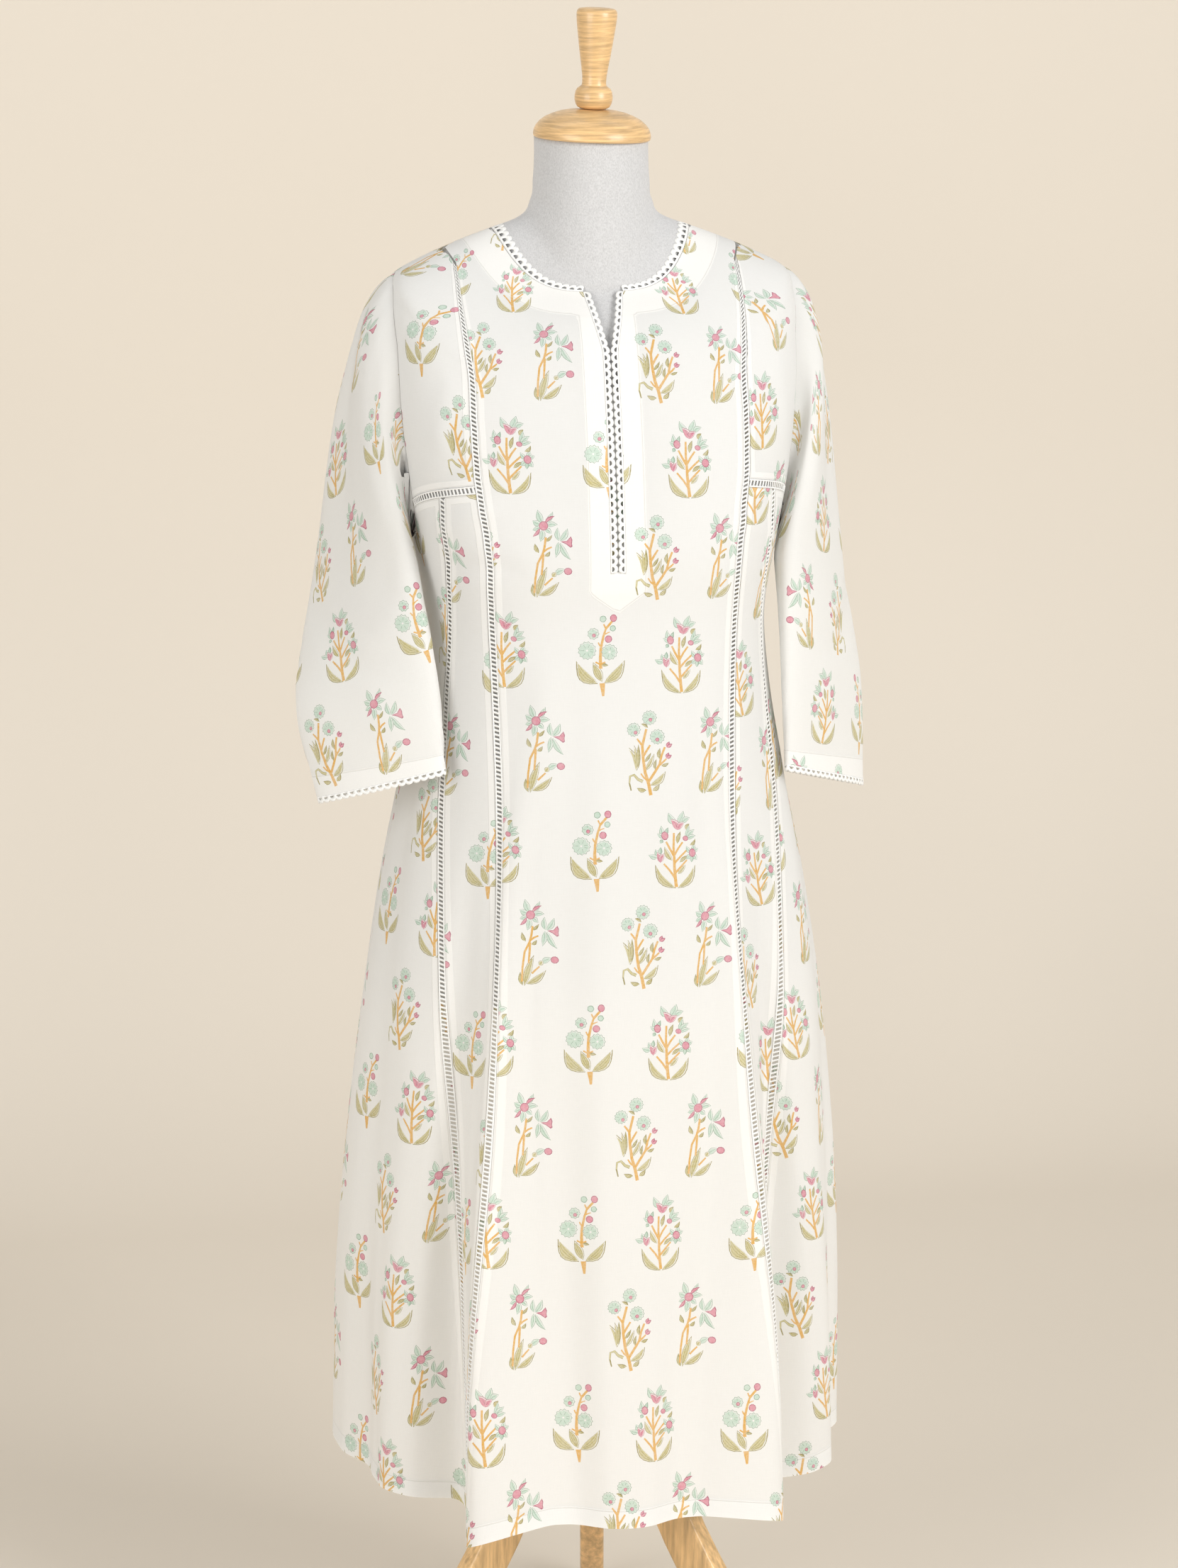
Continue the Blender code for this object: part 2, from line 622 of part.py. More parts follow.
def sleeve_rings(side, cap_rows, lower_rows):
    """The sleeve's outer face as rings, from the armhole to the cuff."""
    turn, start = armhole_loop(side)
    sections = np.array([sleeve_section(row, turn) for row in SLEEVES[side]])
    end = sections[0]
    length = np.linalg.norm(end - start, axis=1, keepdims=True)
    leaving = np.array([SIDES[side] * 0.90, 0.0, -0.30]) * length * 0.55
    arriving = (sections[1] - sections[0]) * length / np.linalg.norm(sections[1] - sections[0], axis=1, keepdims=True)
    rings = []
    for share in np.linspace(0, 1, cap_rows + 1):
        rings.append(
            (1 + 2 * share) * (1 - share) ** 2 * start + share * (1 - share) ** 2 * leaving
            + share**2 * (3 - 2 * share) * end + share**2 * (share - 1) * arriving
        )
    numbers = np.arange(len(sections), dtype=float)
    for place in np.linspace(0, len(sections) - 1, lower_rows + 1)[1:]:
        rings.append(np.array([
            [smooth_between(list(zip(numbers, sections[:, i, axis])), place) for axis in range(3)]
            for i in range(len(turn))
        ]))
    step = rings[-1] - rings[-2]
    step /= np.linalg.norm(step, axis=1, keepdims=True)
    rings.insert(-1, rings[-1] - step * HEM_TURNING)
    return np.array(rings)


def ring_normals(rings):
    """Outward normals of a tube given as rings, from its neighbours."""
    along = np.roll(rings, -1, axis=1) - np.roll(rings, 1, axis=1)
    down = np.gradient(rings, axis=0)
    normal = np.cross(along, down)
    normal /= np.linalg.norm(normal, axis=-1, keepdims=True)
    outward = rings - rings.mean(axis=1, keepdims=True)
    return normal if (normal * outward).sum() > 0 else -normal


def tube_wall(name, rings, normals, depth, material):
    """A wall round a tube, with its outer face this deep inside the given rings."""
    outer, inner = rings - normals * depth, rings - normals * (depth + WALL)
    cells = np.ones((len(rings) - 1, rings.shape[1]), bool)
    mesh = wall_mesh(name, outer, inner, cells, closed_round=True)
    shape = bmesh.new()
    shape.from_mesh(mesh)
    if shape.calc_volume(signed=True) < 0:
        bmesh.ops.reverse_faces(shape, faces=shape.faces)
        shape.to_mesh(mesh)
    shape.free()
    return add_object(name, mesh, material)


def make_sleeve(side, cloth, lace):
    """A sleeve, the turned band inside its cuff, and the scalloped lace below it."""
    rings = sleeve_rings(side, SLEEVE_CAP_ROWS, SLEEVE_LOWER_ROWS)
    normals = ring_normals(rings)
    tube_wall(f"sleeve_{side}", rings, normals, 0.0, cloth)
    step = rings[-1] - rings[-2]
    step /= np.linalg.norm(step, axis=1, keepdims=True)
    tube_wall(f"cuff_turning_{side}", rings[-2:], normals[-2:], WALL + LAYER_GAP, cloth)
    edge = np.array([rings[-1] + step * SEAM_GAP * 1.5, rings[-1] + step * EDGE_LACE_WIDTH])
    tube_wall(f"lace_cuff_{side}", edge, normals[[-1, -1]], 0.0, lace)


def make_torso(material):
    """The dress form's padded body and neck, closed at both ends."""
    heights = np.array((0.740, 0.755, 0.870, 0.990, 1.060, 1.130, 1.200, 1.260, 1.320, 1.380, 1.430, 1.460, 1.468,
                        1.476, YOKE_TOP, FACING_LOW, 1.4965, NECKLINE, 1.506, 1.510, 1.518, 1.530, 1.550, NECK_TOP))
    angle = np.linspace(0, 2 * math.pi, 36, endpoint=False)
    angle, height = np.broadcast_arrays(angle[None, :], heights[:, None])
    facing_room = FACING_ROOM * np.clip(4 * np.cos(angle) + 0.6, 0, 1) * (height <= NECKLINE)
    ease = (smooth_between(EASE, height) + facing_room)[..., None]
    points = ring_point(angle, height) - normals_of(ring_point, angle, height) * ease
    points[0] = points[0] * (0.97, 0.97, 0) + (0, 0, FORM_BOTTOM)
    points[-1, :, 2] = NECK_TOP - np.tan(HEAD_TILT) * points[-1, :, 0]
    mesh = bmesh.new()
    rings = [[mesh.verts.new(point) for point in row] for row in points]
    for low, high in zip(rings, rings[1:]):
        for i in range(len(low)):
            after = (i + 1) % len(low)
            mesh.faces.new((low[i], low[after], high[after], high[i]))
    mesh.faces.new(rings[-1])
    mesh.faces.new(rings[0][::-1])
    data = bpy.data.meshes.new("torso")
    mesh.to_mesh(data)
    mesh.free()
    data.shade_smooth()
    data.set_sharp_from_angle(angle=math.radians(50))
    return add_object("torso", data, material)


def make_turned(name, profile, material, steps=28):
    """A turned piece from its profile, which runs down its outer side."""
    mesh = bpy.data.meshes.new(name)
    points = [(radius, 0, height) for radius, height in profile]
    mesh.from_pydata(points, [(i, i + 1) for i in range(len(points) - 1)], [])
    obj = add_object(name, mesh, material)
    screw = obj.modifiers.new("turn", "SCREW")
    screw.steps = screw.render_steps = steps
    screw.use_merge_vertices = True
    screw.merge_threshold = 1e-5
    screw.use_smooth_shade = True
    return obj


def make_pole(material):
    """The pole between the form and the hub, clear of both by the usual gap."""
    low, high = HUB_PROFILE[0][1] + SEAM_GAP, FORM_BOTTOM - SEAM_GAP
    profile = ((0, high), (POLE_RADIUS, high), (POLE_RADIUS, low), (0, low))
    return make_turned("pole", profile, material, 24)


def make_leg(name, degrees, material):
    """One bentwood leg: a board cut to a curve and sanded at its edges."""
    share = np.linspace(0, len(LEG_LINE) - 1, 19)
    numbers = range(len(LEG_LINE))
    line = np.array([
        [smooth_between(list(zip(numbers, column)), place) for column in zip(*LEG_LINE)] for place in share
    ])
    along = np.gradient(line, axis=0)
    along /= np.linalg.norm(along, axis=1, keepdims=True)
    across = np.stack((-along[:, 1], along[:, 0]), axis=1) * LEG_HALF_DEPTH
    across[0] = (0, LEG_HALF_DEPTH / abs(along[0, 0]) * 0.5)
    across[-1] = (0, LEG_HALF_DEPTH)
    outline = np.concatenate((line + across, (line - across)[::-1]))
    outline[:, 0] = np.maximum(outline[:, 0], HUB_RADIUS + SEAM_GAP)
    outline[:, 1] = np.maximum(outline[:, 1], 0.0)
    mesh = bmesh.new()
    ring = [mesh.verts.new((reach, -LEG_THICKNESS / 2, height)) for reach, height in outline]
    face = mesh.faces.new(ring)
    made = bmesh.ops.extrude_face_region(mesh, geom=[face])
    moved = [item for item in made["geom"] if isinstance(item, bmesh.types.BMVert)]
    bmesh.ops.translate(mesh, verts=moved, vec=(0, LEG_THICKNESS, 0))
    bmesh.ops.recalc_face_normals(mesh, faces=mesh.faces)
    data = bpy.data.meshes.new(name)
    mesh.to_mesh(data)
    mesh.free()
    obj = add_object(name, data, material)
    obj.rotation_euler.z = math.radians(degrees)
    return obj


def make_material(name, color, roughness, metallic=0.0):
    material = bpy.data.materials.new(name)
    material.use_nodes = True
    shader = material.node_tree.nodes["Principled BSDF"]
    shader.inputs["Base Color"].default_value = (*color, 1.0)
    shader.inputs["Roughness"].default_value = roughness
    shader.inputs["Metallic"].default_value = metallic
    material.diffuse_color = (*color, 1.0)
    return material


def centre_on_base():
    """Moves everything so that the origin is at the bottom centre of the whole object's box."""
    bpy.context.view_layer.update()
    graph = bpy.context.evaluated_depsgraph_get()
    corners = []
    for obj in bpy.data.collections[COLLECTION_NAME].objects:
        evaluated = obj.evaluated_get(graph)
        corners += [evaluated.matrix_world @ vertex.co for vertex in evaluated.data.vertices]
    corners = np.array(corners)
    low, high = corners.min(axis=0), corners.max(axis=0)
    shift = Vector((-(low[0] + high[0]) / 2, -(low[1] + high[1]) / 2, -low[2]))
    for obj in bpy.data.collections[COLLECTION_NAME].objects:
        obj.matrix_world = Matrix.Translation(shift) @ obj.matrix_world


def main():
    for obj in list(bpy.data.objects):
        bpy.data.objects.remove(obj, do_unlink=True)
    collection = bpy.data.collections.new(COLLECTION_NAME)
    bpy.context.scene.collection.children.link(collection)

    cambric = make_material("white cambric", (0.90, 0.89, 0.86), 0.85)
    facing = make_material("cambric facing", (0.93, 0.93, 0.91), 0.85)
    lace = make_material("cotton lace", (0.92, 0.92, 0.90), 0.80)
    jersey = make_material("grey jersey", (0.70, 0.70, 0.70), 0.90)
    wood = make_material("honey wood", (0.72, 0.50, 0.27), 0.35)

    make_front_centre(cambric)
    make_back(cambric)
    for side in SIDES:
        make_yoke(side, cambric)
        make_inner_gore(side, cambric)
        make_outer_gore(side, cambric)
        make_princess_lace(side, lace)
        make_side_lace(side, lace)
        make_yoke_lace(side, lace)
        make_slit_lace(side, lace)
        make_sleeve(side, cambric, lace)
    make_neck_lace(lace)
    make_neck_facing(facing)
    make_placket(cambric, facing)
    make_hem_turning(facing)

    make_torso(jersey)
    for name, profile in (("neck_cap", CAP_PROFILE), ("finial", FINIAL_PROFILE)):
        turned = make_turned(name, profile, wood)
        turned.location.z = NECK_TOP
        turned.rotation_euler.y = HEAD_TILT
    make_turned("hub", HUB_PROFILE, wood)
    make_pole(wood)
    for name, degrees in LEG_ANGLES.items():
        make_leg(name, degrees, wood)
    centre_on_base()


main()
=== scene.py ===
"""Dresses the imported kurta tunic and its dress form: printed cambric, laces, jersey and varnished wood."""

import math

import bmesh
import bpy
import numpy as np
from mathutils import Matrix, Vector
from mathutils.geometry import delaunay_2d_cdt


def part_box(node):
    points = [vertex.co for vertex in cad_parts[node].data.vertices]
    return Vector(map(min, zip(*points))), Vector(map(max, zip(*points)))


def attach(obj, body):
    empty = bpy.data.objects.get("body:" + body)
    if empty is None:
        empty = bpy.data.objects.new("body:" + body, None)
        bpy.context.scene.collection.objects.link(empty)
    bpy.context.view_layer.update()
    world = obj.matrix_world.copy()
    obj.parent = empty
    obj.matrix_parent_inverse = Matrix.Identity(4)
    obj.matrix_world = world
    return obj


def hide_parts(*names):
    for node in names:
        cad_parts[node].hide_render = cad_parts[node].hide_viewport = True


bl_info = {
    "name": "Kurta Tunic on a Dress Form",
    "version": (1, 0, 0),
    "blender": (4, 5, 0),
    "location": "3D View > Sidebar > Kurta",
    "description": "Builds a block-printed kurta tunic on a tripod dress form over its packed frame",
    "category": "Object",
}

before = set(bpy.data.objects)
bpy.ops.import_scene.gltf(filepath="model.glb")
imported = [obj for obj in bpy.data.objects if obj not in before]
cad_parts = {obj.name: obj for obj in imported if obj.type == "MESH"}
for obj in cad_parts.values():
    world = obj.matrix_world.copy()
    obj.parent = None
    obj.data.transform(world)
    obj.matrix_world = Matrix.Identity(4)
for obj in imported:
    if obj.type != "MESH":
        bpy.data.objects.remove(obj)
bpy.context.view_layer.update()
BODY = "root"
AXIS = (np.array(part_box("pole")[0]) + np.array(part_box("pole")[1])) / 2 * (1, 1, 0)

MM = 0.001
SEAM_GAP = 0.0003
LACE_WIDTH = 0.008
BESIDE_LACE = LACE_WIDTH / 2 + SEAM_GAP
EDGE_LACE_WIDTH = 0.0072
LACE_SINK = 0.0004
HEM_TURNING = 0.018
TURNING_DEPTH = 0.0016
UNDERLAP_DEPTH = 0.0034
UNDERLAP_HALF_WIDTH = 0.026
UNDERLAP_TOP = 1.440
PLACKET_HALF_WIDTH = 0.0285
PLACKET_TIP = 1.163

HEM = 0.262
UNDERARM = 1.200
SHOULDER_TIP = 1.460
YOKE_TOP = 1.4835
SHOULDER_BAND = 1.4842
FACING_LOW = 1.4910
NECKLINE = 1.502
SLIT_BOTTOM = 1.183
NECK_TOP = 1.588
FORM_BOTTOM = 0.740
HEAD_TILT = math.radians(2.4)

# How steeply a ring climbs from the centre front to the shoulder.
RISE_POWER = 4

# The worn garment's outer face, and above the neckline the neck that it lies on. height is at the side of
# a ring, front_drop and back_drop are how far its middle hangs below that, and exponent is its squareness.
RING_COLUMNS = ("height", "front_drop", "back_drop", "half_width", "front", "back", "centre", "exponent")
RINGS = (
    (0.200, 0.026, 0.005, 0.2635, 0.2230, 0.2235, 0.050, 1.95),
    (0.262, 0.022, 0.004, 0.2620, 0.2160, 0.2180, 0.045, 1.95),
    (0.450, 0.012, 0.002, 0.2585, 0.1960, 0.2020, 0.030, 1.95),
    (0.600, 0.004, 0.000, 0.2480, 0.1850, 0.1860, 0.012, 2.00),
    (0.760, 0.000, 0.000, 0.2290, 0.1750, 0.1690, 0.000, 2.05),
    (0.870, 0.000, 0.000, 0.2110, 0.1670, 0.1550, 0.000, 2.15),
    (0.970, 0.000, 0.000, 0.1900, 0.1600, 0.1400, 0.000, 2.30),
    (1.060, 0.000, 0.000, 0.1730, 0.1500, 0.1220, 0.000, 2.60),
    (1.130, 0.000, 0.000, 0.1670, 0.1450, 0.1120, 0.000, 2.90),
    (1.200, 0.002, 0.000, 0.1780, 0.1470, 0.1070, 0.000, 3.00),
    (1.260, 0.012, 0.002, 0.1900, 0.1400, 0.1080, 0.000, 2.85),
    (1.330, 0.035, 0.008, 0.2000, 0.1310, 0.1100, 0.002, 2.60),
    (1.400, 0.065, 0.018, 0.2030, 0.1210, 0.1060, 0.006, 2.40),
    (1.440, 0.082, 0.024, 0.2010, 0.1140, 0.0980, 0.010, 2.30),
    (1.460, 0.088, 0.026, 0.1930, 0.1100, 0.0900, 0.012, 2.25),
    (1.475, 0.078, 0.022, 0.1650, 0.1010, 0.0800, 0.014, 2.20),
    (1.490, 0.066, 0.014, 0.1300, 0.0840, 0.0700, 0.014, 2.10),
    (1.502, 0.056, 0.008, 0.0980, 0.0640, 0.0630, 0.012, 2.00),
    (1.510, 0.052, 0.006, 0.0750, 0.0600, 0.0620, 0.008, 2.00),
    (1.530, 0.034, 0.003, 0.0590, 0.0560, 0.0620, 0.004, 2.00),
    (1.550, 0.020, 0.001, 0.0575, 0.0540, 0.0620, 0.004, 2.00),
    (1.590, 0.000, 0.000, 0.0580, 0.0540, 0.0620, 0.004, 2.00),
)

# The seams that carry a ladder lace, as half-distances from the centre at each height.
PRINCESS_SEAM = (
    (0.262, 0.136),
    (0.450, 0.124),
    (0.600, 0.117),
    (0.875, 0.1155),
    (0.974, 0.1156),
    (1.150, 0.1208),
    (1.216, 0.1247),
    (1.295, 0.1325),
    (1.365, 0.1338),
    (1.460, 0.1360),
    (1.478, 0.1390),
    (1.490, 0.1390),
)
SIDE_LACE_SEAM = (
    (0.262, 0.162),
    (0.437, 0.166),
    (0.630, 0.168),
    (0.776, 0.170),
    (0.931, 0.167),
    (1.050, 0.159),
    (1.130, 0.155),
    (1.200, 0.160),
    (1.260, 0.165),
)

# The armhole's front edge. Its back edge mirrors it about 90 degrees.
ARMHOLE = (
    (1.200, 90.0),
    (1.206, 82.0),
    (1.220, 76.5),
    (1.250, 72.5),
    (1.300, 70.5),
    (1.360, 70.5),
    (1.410, 73.0),
    (1.440, 78.0),
    (1.455, 84.0),
    (1.460, 90.0),
)
YOKE_LACE_INNER = (41.0, 1.274)
YOKE_LACE_OUTER = (74.0, 1.240)

# Skirt folds on both sides, as in the solids: crest at the hem and at its top, half widths, how far it
# stands out (or in) at the hem, its lean to the side, and the height at which it has died away.
FOLD_COLUMNS = ("hem_angle", "top_angle", "half_angle", "top_half_angle", "stands_out", "lean", "top")
FOLDS = (
    (27.0, 30.0, 11.0, 5.0, 0.034, 4.5, 1.060),
    (12.0, 14.0, 9.0, 8.0, -0.010, 0.0, 0.900),
    (43.0, 41.0, 9.5, 6.0, -0.034, 0.0, 0.980),
    (57.0, 55.0, 8.0, 8.0, 0.010, 1.0, 0.850),
    (72.0, 70.0, 9.0, 8.0, -0.012, 0.0, 0.800),
    (104.0, 102.0, 12.0, 12.0, -0.012, 0.0, 0.900),
    (120.0, 118.0, 12.0, 12.0, 0.014, 0.0, 1.000),
    (139.0, 138.0, 13.0, 12.0, -0.018, 0.0, 1.050),
    (158.0, 160.0, 13.0, 12.0, 0.016, 0.0, 1.100),
    (180.0, 180.0, 13.0, 12.0, -0.016, 0.0, 1.100),
)

# Soft creases: a line from one angle and height to another, its half width and how far it stands out.
CREASE_COLUMNS = ("from_angle", "from_height", "to_angle", "to_height", "half_width", "stands_out")
CREASES = (
    (-62.0, 1.235, -36.0, 1.330, 0.012, -0.0022),
    (-58.0, 1.215, -30.0, 1.265, 0.011, 0.0020),
    (-60.0, 1.190, -26.0, 1.190, 0.013, -0.0020),
    (-44.0, 1.430, -52.0, 1.300, 0.012, 0.0018),
    (60.0, 1.235, 38.0, 1.335, 0.012, -0.0020),
    (57.0, 1.205, 32.0, 1.240, 0.012, 0.0018),
    (52.0, 1.430, 58.0, 1.290, 0.012, 0.0016),
    (-22.0, 1.120, -30.0, 0.860, 0.014, 0.0026),
    (-14.0, 1.100, -16.0, 0.700, 0.016, -0.0020),
    (-4.0, 1.080, -5.0, 0.420, 0.018, 0.0022),
    (6.0, 1.050, 4.0, 0.300, 0.016, -0.0018),
    (16.0, 1.120, 15.0, 0.620, 0.015, 0.0022),
    (24.0, 1.140, 26.0, 0.860, 0.012, -0.0018),
    (-66.0, 1.080, -60.0, 0.620, 0.020, 0.0030),
    (-76.0, 1.060, -70.0, 0.500, 0.020, -0.0026),
    (64.0, 1.080, 60.0, 0.600, 0.020, 0.0030),
    (78.0, 1.060, 74.0, 0.520, 0.020, -0.0026),
    (-14.0, 1.400, -10.0, 1.240, 0.016, 0.0012),
    (14.0, 1.390, 20.0, 1.220, 0.016, 0.0012),
    (110.0, 1.210, 150.0, 1.300, 0.018, -0.0026),
    (112.0, 1.180, 160.0, 1.180, 0.018, 0.0026),
    (250.0, 1.210, 210.0, 1.290, 0.018, -0.0026),
    (248.0, 1.180, 200.0, 1.170, 0.018, 0.0026),
    (180.0, 1.420, 176.0, 1.100, 0.020, 0.0018),
)
CREASE_RADIUS = 0.17

# Where the hem hangs lower: angle, half width in degrees, how much lower, and the height where that begins.
LOW_HEMS = (
    (-31.0, 15.0, 0.024, 0.66),
    (31.0, 15.0, 0.015, 0.66),
    (0.0, 14.0, 0.003, 0.50),
    (-72.0, 16.0, 0.003, 0.50),
)

# The form stands this far inside the garment's outer face.
EASE = (
    (0.740, 0.050),
    (0.870, 0.032),
    (0.970, 0.024),
    (1.060, 0.026),
    (1.130, 0.026),
    (1.200, 0.0120),
    (1.300, 0.0080),
    (1.400, 0.0050),
    (1.450, 0.0042),
    (1.468, 0.0040),
    (1.478, 0.0039),
    (1.487, 0.0022),
    (1.590, 0.0021),
)
FACING_ROOM = 0.0038

# Flat-pressed sleeves: the ends of each section at its front and back creases, and its half thickness.
SLEEVE_COLUMNS = ("front_x", "front_y", "front_z", "back_x", "back_y", "back_z", "half_thickness")
SLEEVES = {
    "left": (
        (-0.187, -0.069, 1.175, -0.262, 0.080, 1.165, 0.026),
        (-0.173, -0.092, 1.100, -0.288, 0.022, 1.085, 0.021),
        (-0.167, -0.106, 1.045, -0.298, -0.014, 1.030, 0.018),
        (-0.165, -0.118, 0.992, -0.283, -0.050, 0.953, 0.014),
    ),
    "right": (
        (0.178, -0.084, 1.175, 0.255, 0.058, 1.165, 0.026),
        (0.177, -0.090, 1.100, 0.272, 0.044, 1.085, 0.021),
        (0.177, -0.092, 1.045, 0.278, 0.026, 1.030, 0.018),
        (0.178, -0.095, 0.978, 0.277, 0.002, 0.940, 0.014),
    ),
}
SIDES = {"left": -1, "right": 1}

# The print's repeat on flat cloth, in millimetres: two rows of two motifs, the second row shifted.
REPEAT_WIDTH = 175.0
ROW_PITCH = 95.5
MOTIFS_AT = {"star": (0.0, 0), "daisies": (102.0, 0), "buds": (51.0, 1), "tulips": (130.0, 1)}
STAR_ROW_START, BUD_ROW_START = -36.5, 12.5
PRINT_GRID = 7.0

# Where one motif's middle lies on each piece: which motif, its place from the form's axis, and how many
# degrees the print leans.
PRINT_PLACES = {
    "front_centre": ("star", -0.064, -0.144, 1.200, -2.6),
    "back": ("star", 0.0, 0.112, 1.160, 0.0),
    "underlap": ("star", -0.004, -0.140, 1.235, -2.6),
    "yoke_left": ("daisies", -0.145, -0.104, 1.311, 0.0),
    "yoke_right": ("tulips", 0.150, -0.096, 1.330, 0.0),
    "gore_inner_left": ("buds", -0.127, -0.134, 0.907, 0.0),
    "gore_inner_right": ("tulips", 0.143, -0.126, 0.879, 0.0),
    "gore_outer_left": ("daisies", -0.222, -0.080, 0.551, 0.0),
    "gore_outer_right": ("tulips", 0.207, -0.106, 0.529, 0.0),
    "sleeve_left": ("star", -0.218, -0.095, 1.027, 0.0),
    "sleeve_right": ("star", 0.195, -0.083, 1.132, 0.0),
}


def smooth_between(rows, at):
    """The second column of a two-column table at these values of the first, on a smooth curve."""
    known, values = np.array(rows, float).T
    slopes = np.gradient(values, known)
    flat = np.diff(values) == 0
    slopes[:-1][flat] = 0
    slopes[1:][flat] = 0
    at = np.clip(np.asarray(at, float), known[0], known[-1])
    first = np.clip(np.searchsorted(known, at, side="right") - 1, 0, len(known) - 2)
    span = known[first + 1] - known[first]
    share = (at - known[first]) / span
    start = (1 + 2 * share) * (1 - share) ** 2
    end = share**2 * (3 - 2 * share)
    leaving = share * (1 - share) ** 2 * span
    arriving = share**2 * (share - 1) * span
    return (
        start * values[first] + end * values[first + 1]
        + leaving * slopes[first] + arriving * slopes[first + 1]
    )


def ring_at(height):
    """Each column of the rings' table at these heights."""
    heights = [row[0] for row in RINGS]
    return {
        column: smooth_between(list(zip(heights, (row[i] for row in RINGS))), height)
        for i, column in enumerate(RING_COLUMNS) if i
    }


def ring_point(angle, height):
    """A point of the smooth body, with no folds."""
    ring = ring_at(height)
    sine, cosine = np.sin(angle), np.cos(angle)
    power = ring["exponent"]
    size = (np.abs(sine) ** power + np.abs(cosine) ** power) ** (1 / power)
    across, ahead = sine / size, cosine / size
    reach = np.where(cosine > 0, ring["front"] + ring["centre"], ring["back"] - ring["centre"])
    drop = np.where(cosine > 0, ring["front_drop"], ring["back_drop"])
    return np.stack(
        (
            ring["half_width"] * across,
            ring["centre"] - reach * ahead,
            height - drop * (1 - np.abs(across) ** RISE_POWER),
        ),
        axis=-1,
    )


def normals_of(surface, angle, height, small=1e-4):
    """Unit normals of a surface of two values, pointing out of the body."""
    along = surface(angle + small, height) - surface(angle - small, height)
    up = surface(angle, height + small) - surface(angle, height - small)
    normal = np.cross(along, up)
    return normal / np.linalg.norm(normal, axis=-1, keepdims=True)


def fold_shift(angle, height):
    """How far the folds push the cloth out, and how far they lean it to the side in radians."""
    side = np.sign(np.sin(angle)) + (np.sin(angle) == 0)
    from_front = np.degrees(np.arccos(np.clip(np.cos(angle), -1, 1)))
    out, lean = np.zeros(np.shape(from_front)), np.zeros(np.shape(from_front))
    for fold in (dict(zip(FOLD_COLUMNS, row)) for row in FOLDS):
        share = np.clip((fold["top"] - height) / (fold["top"] - HEM), 0, 1)
        grown = share * share * (3 - 2 * share)
        crest = fold["top_angle"] + (fold["hem_angle"] - fold["top_angle"]) * share
        half = fold["top_half_angle"] + (fold["half_angle"] - fold["top_half_angle"]) * share
        near = np.clip(np.abs(from_front - crest) / half, 0, 1)
        bump = np.cos(near * math.pi / 2) ** 2 * grown
        out += fold["stands_out"] * bump
        lean += np.radians(fold["lean"]) * bump * side
    return out, lean


def crease_shift(angle, height):
    """How far the soft creases push the cloth out."""
    out = np.zeros(np.shape(angle))
    for crease in (dict(zip(CREASE_COLUMNS, row)) for row in CREASES):
        start = np.array((math.radians(crease["from_angle"]) * CREASE_RADIUS, crease["from_height"]))
        end = np.array((math.radians(crease["to_angle"]) * CREASE_RADIUS, crease["to_height"]))
        line = end - start
        reach = (angle * CREASE_RADIUS - start[0], height - start[1])
        along = (reach[0] * line[0] + reach[1] * line[1]) / (line @ line)
        off = (reach[0] * line[1] - reach[1] * line[0]) / np.linalg.norm(line)
        taper = np.clip(np.minimum(along, 1 - along) * 4, 0, 1)
        taper = taper * taper * (3 - 2 * taper)
        out += crease["stands_out"] * taper * np.exp(-((off / crease["half_width"]) ** 2))
    return out


def cloth_point(angle, height):
    """A point of the garment's outer face, with its folds, as in the solids."""
    angle, height = np.broadcast_arrays(np.asarray(angle, float), np.asarray(height, float))
    out, lean = fold_shift(angle, height)
    moved = angle + lean
    return ring_point(moved, height) + out[..., None] * normals_of(ring_point, moved, height)


def creased_cloth(angle, height):
    """A point of the garment's outer face, with its folds and its soft creases."""
    angle, height = np.broadcast_arrays(np.asarray(angle, float), np.asarray(height, float))
    turned = (angle + math.pi / 2) % (2 * math.pi) - math.pi / 2
    out, lean = fold_shift(angle, height)
    out = out + crease_shift(turned, height) * (height < NECKLINE - 0.02)
    moved = angle + lean
    point = ring_point(moved, height) + out[..., None] * normals_of(ring_point, moved, height)
    for middle, half, lower, top in LOW_HEMS:
        share = np.clip((top - height) / (top - HEM), 0, 1)
        near = np.clip(np.abs(np.degrees(turned) - middle) / half, 0, 1)
        point[..., 2] -= lower * share**3 * np.cos(near * math.pi / 2) ** 2
    return point


def angle_for(distance, angle, height):
    """The change of angle that moves a point this far round the body."""
    small = 1e-3
    moved = ring_point(angle + small, height) - ring_point(angle - small, height)
    return distance * 2 * small / np.linalg.norm(moved, axis=-1)


def height_for(distance, angle, height):
    """The change of height that moves a point this far up the cloth."""
    small = 1e-3
    moved = ring_point(angle, height + small) - ring_point(angle, height - small)
    return distance * 2 * small / np.linalg.norm(moved, axis=-1)


def seam_angle(seam, height):
    """The angle, on the +X side, at which a ring has the seam's half-distance from the centre."""
    ring = ring_at(height)
    across = np.clip(smooth_between(seam, height) / ring["half_width"], 0, 1)
    ahead = (1 - across ** ring["exponent"]) ** (1 / ring["exponent"])
    return np.arctan2(across, ahead)


def beside_seam(seam, height, distance):
    """The angle that lies this far outside a seam on the +X side, and no further round than the shoulder."""
    angle = seam_angle(seam, height)
    shoulder = math.pi / 2 - angle_for(SEAM_GAP / 2, math.pi / 2, height)
    return np.minimum(angle + angle_for(distance, angle, height), shoulder)


def armhole_angle(height):
    """The angle of the armhole's front edge, or of the side or shoulder seam below and above it."""
    angle = np.radians(smooth_between(ARMHOLE, height))
    return np.minimum(angle, math.pi / 2 - angle_for(SEAM_GAP / 2, math.pi / 2, height))


